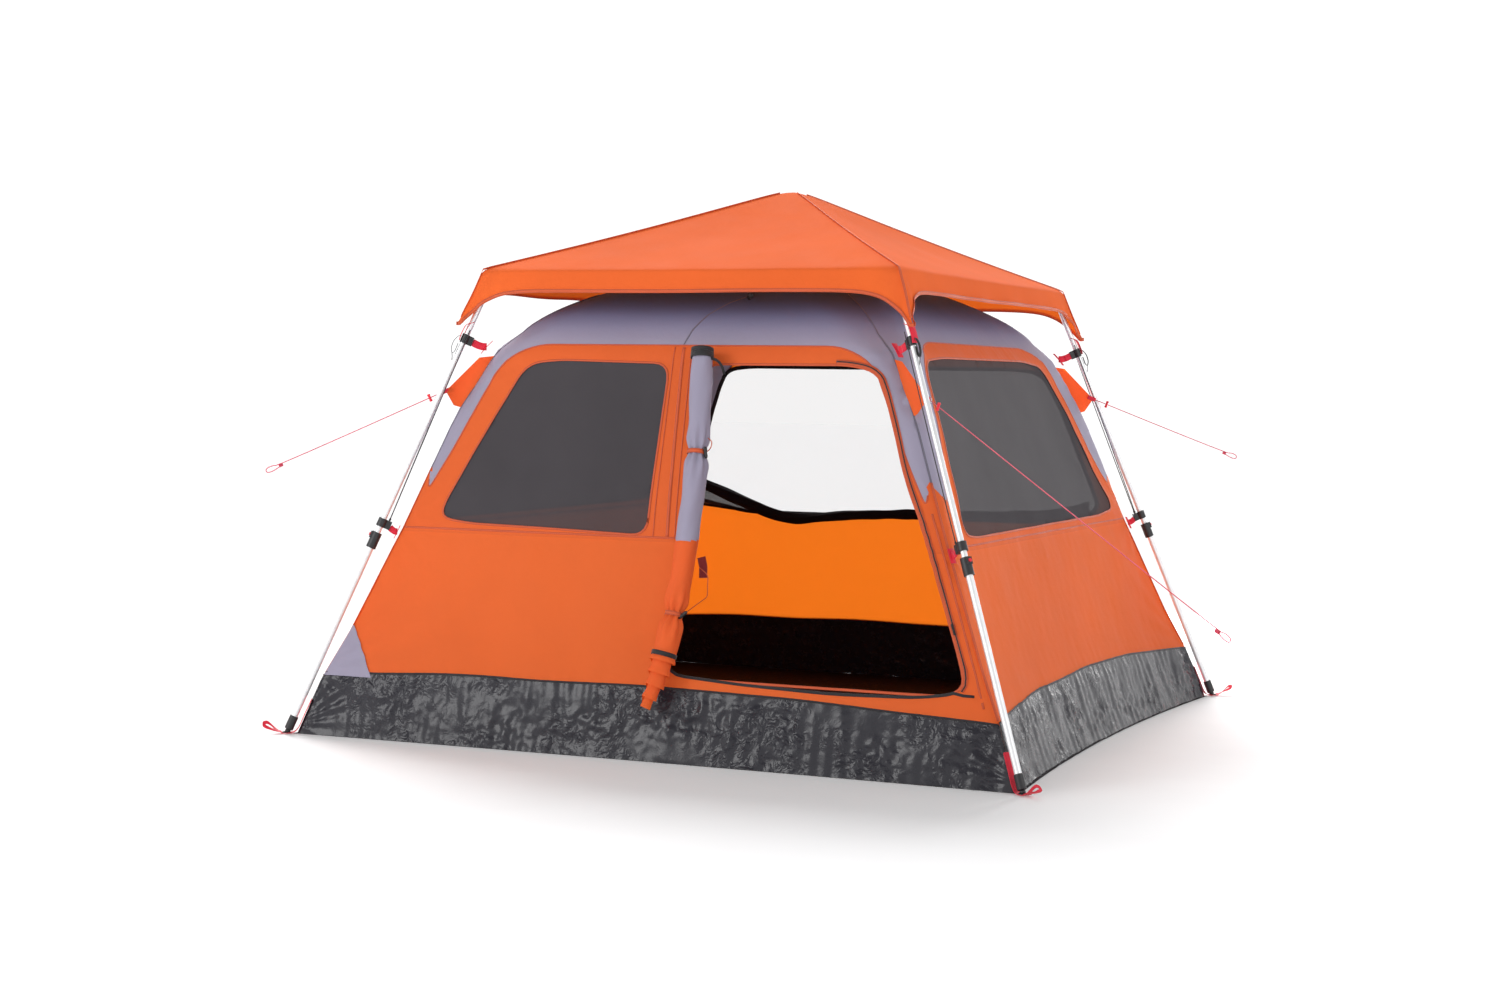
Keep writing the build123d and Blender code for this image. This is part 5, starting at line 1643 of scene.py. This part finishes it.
def flatten(obj):
    """Cloth and webbing sink to the ground as the hub comes down and the frame folds."""
    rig.squash(obj, "hub_drop", axis=(0, 0, 1), anchor=LIES_AT, keep=KEEP)


CAD_MATERIALS = {
    "hub": BLACK_PLASTIC, "roof_arm": POLE, "elbow": BLACK_PLASTIC, "leg_upper": POLE, "leg_lower": POLE,
    "pole_clip": BLACK_PLASTIC, "lock_collar": BLACK_PLASTIC, "ring_clip": BLACK_PLASTIC,
    "foot_cap": BLACK_PLASTIC,
    "lock_button": RED_PLASTIC,
}


def dress_cad_nodes():
    for name, node in frame["nodes"].items():
        for start, material in CAD_MATERIALS.items():
            if name.startswith(start):
                node.data.materials.clear()
                node.data.materials.append(material)


FLOOR_REACH, FLOOR_Z = 60, -0.0005
FLOOR_GLOW = 0.12
SKY_TOP = 0.34           # grey overhead, against white at the horizon
SKY_LEVEL = 1.12
LAMPS = [  # kind, place, aim, width (for the sun, its angle), strength
    ("SUN", (-3.5, 4.9, 5.6), (0, 0, 0), 0.50, 3.2),
    ("AREA", (-3.6, -6.2, 3.0), (0, -0.3, 0.8), 2.6, 125),
    ("AREA", (6.0, -2.2, 2.6), (0.8, 0, 0.8), 2.4, 45),
    ("AREA", (0.2, 4.2, 1.5), (0, 1.0, 0.7), 2.6, 110),
]


def make_stage():
    """Plain pale floor and soft studio light."""
    floor = Nodes("studio_floor")
    white = floor.tones(floor.noise(3, 2), (0.74, 0.74, 0.745), (0.76, 0.76, 0.765))
    floor.finish(floor.principled(Base_Color=white, Roughness=0.95, Specular_IOR_Level=0.1,
                                  Emission_Color=(1, 1, 1, 1), Emission_Strength=FLOOR_GLOW))
    verts = [(x * FLOOR_REACH, y * FLOOR_REACH, FLOOR_Z) for x, y in ((-1, -1), (1, -1), (1, 1), (-1, 1))]
    ground = piece("studio_ground", verts, [(0, 1, 2, 3)], floor.material, body=None)
    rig.stage(ground)
    # White near the horizon, dimmer overhead, so that the lamps shape the cloth.
    world = bpy.data.worlds.new("studio")
    bpy.context.scene.world = world
    world.use_nodes = True
    tree = world.node_tree
    height = tree.nodes.new("ShaderNodeSeparateXYZ")
    tree.links.new(tree.nodes.new("ShaderNodeTexCoord").outputs["Generated"], height.inputs[0])
    sky = tree.nodes.new("ShaderNodeValToRGB")
    sky.color_ramp.elements[0].position, sky.color_ramp.elements[1].position = 0.36, 0.62
    sky.color_ramp.elements[0].color = (1, 1, 1, 1)
    sky.color_ramp.elements[1].color = (SKY_TOP, SKY_TOP, SKY_TOP, 1)
    tree.links.new(height.outputs[2], sky.inputs[0])
    tree.links.new(sky.outputs[0], tree.nodes["Background"].inputs[0])
    tree.nodes["Background"].inputs[1].default_value = SKY_LEVEL
    for k, (kind, place, aim, width, strength) in enumerate(LAMPS):
        data = bpy.data.lights.new(f"studio_lamp_{k}", kind)
        data.energy = strength
        if kind == "SUN":
            data.angle = width
        else:
            data.size = width
        lamp = bpy.data.objects.new(f"studio_lamp_{k}", data)
        lamp.location = place
        lamp.rotation_euler = (Vector(aim) - Vector(place)).to_track_quat("-Z", "Y").to_euler()
        lamp.visible_camera = False
        bpy.context.scene.collection.objects.link(lamp)
    bpy.context.scene.view_settings.view_transform = "Standard"


SENSOR, LENS = 36.0, 56.9                      # mm
CAMERA_AT = (3.1217, -7.6149, 1.1378)
CAMERA_TURN = (23.23, 2.75, 0.82)              # degrees: left from +Y, downwards, and about its own axis


def make_camera():
    """The photo's camera."""
    data = bpy.data.cameras.new("camera")
    data.sensor_width, data.lens = SENSOR, LENS
    camera = bpy.data.objects.new("camera", data)
    yaw, pitch, roll = (math.radians(a) for a in CAMERA_TURN)
    ahead = Vector((-math.sin(yaw) * math.cos(pitch), math.cos(yaw) * math.cos(pitch), -math.sin(pitch)))
    right = Vector((math.cos(yaw), math.sin(yaw), 0))
    up = right.cross(ahead)
    across = right * math.cos(roll) + up * math.sin(roll)
    upward = up * math.cos(roll) - right * math.sin(roll)
    turned = Matrix((across, upward, -ahead)).transposed().to_4x4()
    camera.matrix_world = Matrix.Translation(CAMERA_AT) @ turned
    bpy.context.scene.collection.objects.link(camera)
    bpy.context.scene.camera = camera


make_camera()
make_guy_lines()
make_stage()
dress_cad_nodes()
for wall in [make_wall(side) for side in SIDES]:
    declare_cloth(wall, "stretched", ["tub_sides"])
meshes = ([make_window(side, WINDOW_MESH) for side in ("front", "left", "right")]
          + [make_window("back", BACK_NET)])
for mesh in meshes:
    declare_cloth(mesh, "stretched")
back_roll = make_back_roll()
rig.replaces(back_roll, "window_meshes")
declare_cloth(make_roof(), "stretched", ["front_wall_cloth", "back_wall_cloth"])
tub_sides, tub_floor = make_tub()
declare_cloth(tub_sides, "stretched")
declare_cloth(tub_floor, "laid")
declare_cloth(make_fly(), "stretched", ["hub"])
declare_cloth(make_door(), "folded")
make_ties()
make_bindings()
make_zip()
make_slider()
make_inner_tab()
make_seams()
make_corner_patch()
make_straps()
make_clip_tails()
make_roof_hook()
make_foot_straps()
make_tension_cords()
make_guy_tabs()
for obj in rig.pieces():
    made_here = "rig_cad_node" not in obj and "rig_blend" not in obj and "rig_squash" not in obj
    if made_here and not obj.name.startswith(("tub_floor", "clip_tail")):
        flatten(obj)

sizes = {"cad": [list(corner) for corner in cad_box], "visual": [list(corner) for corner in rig.bounds()]}
with open("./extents.json", "w") as file:
    json.dump(sizes, file)
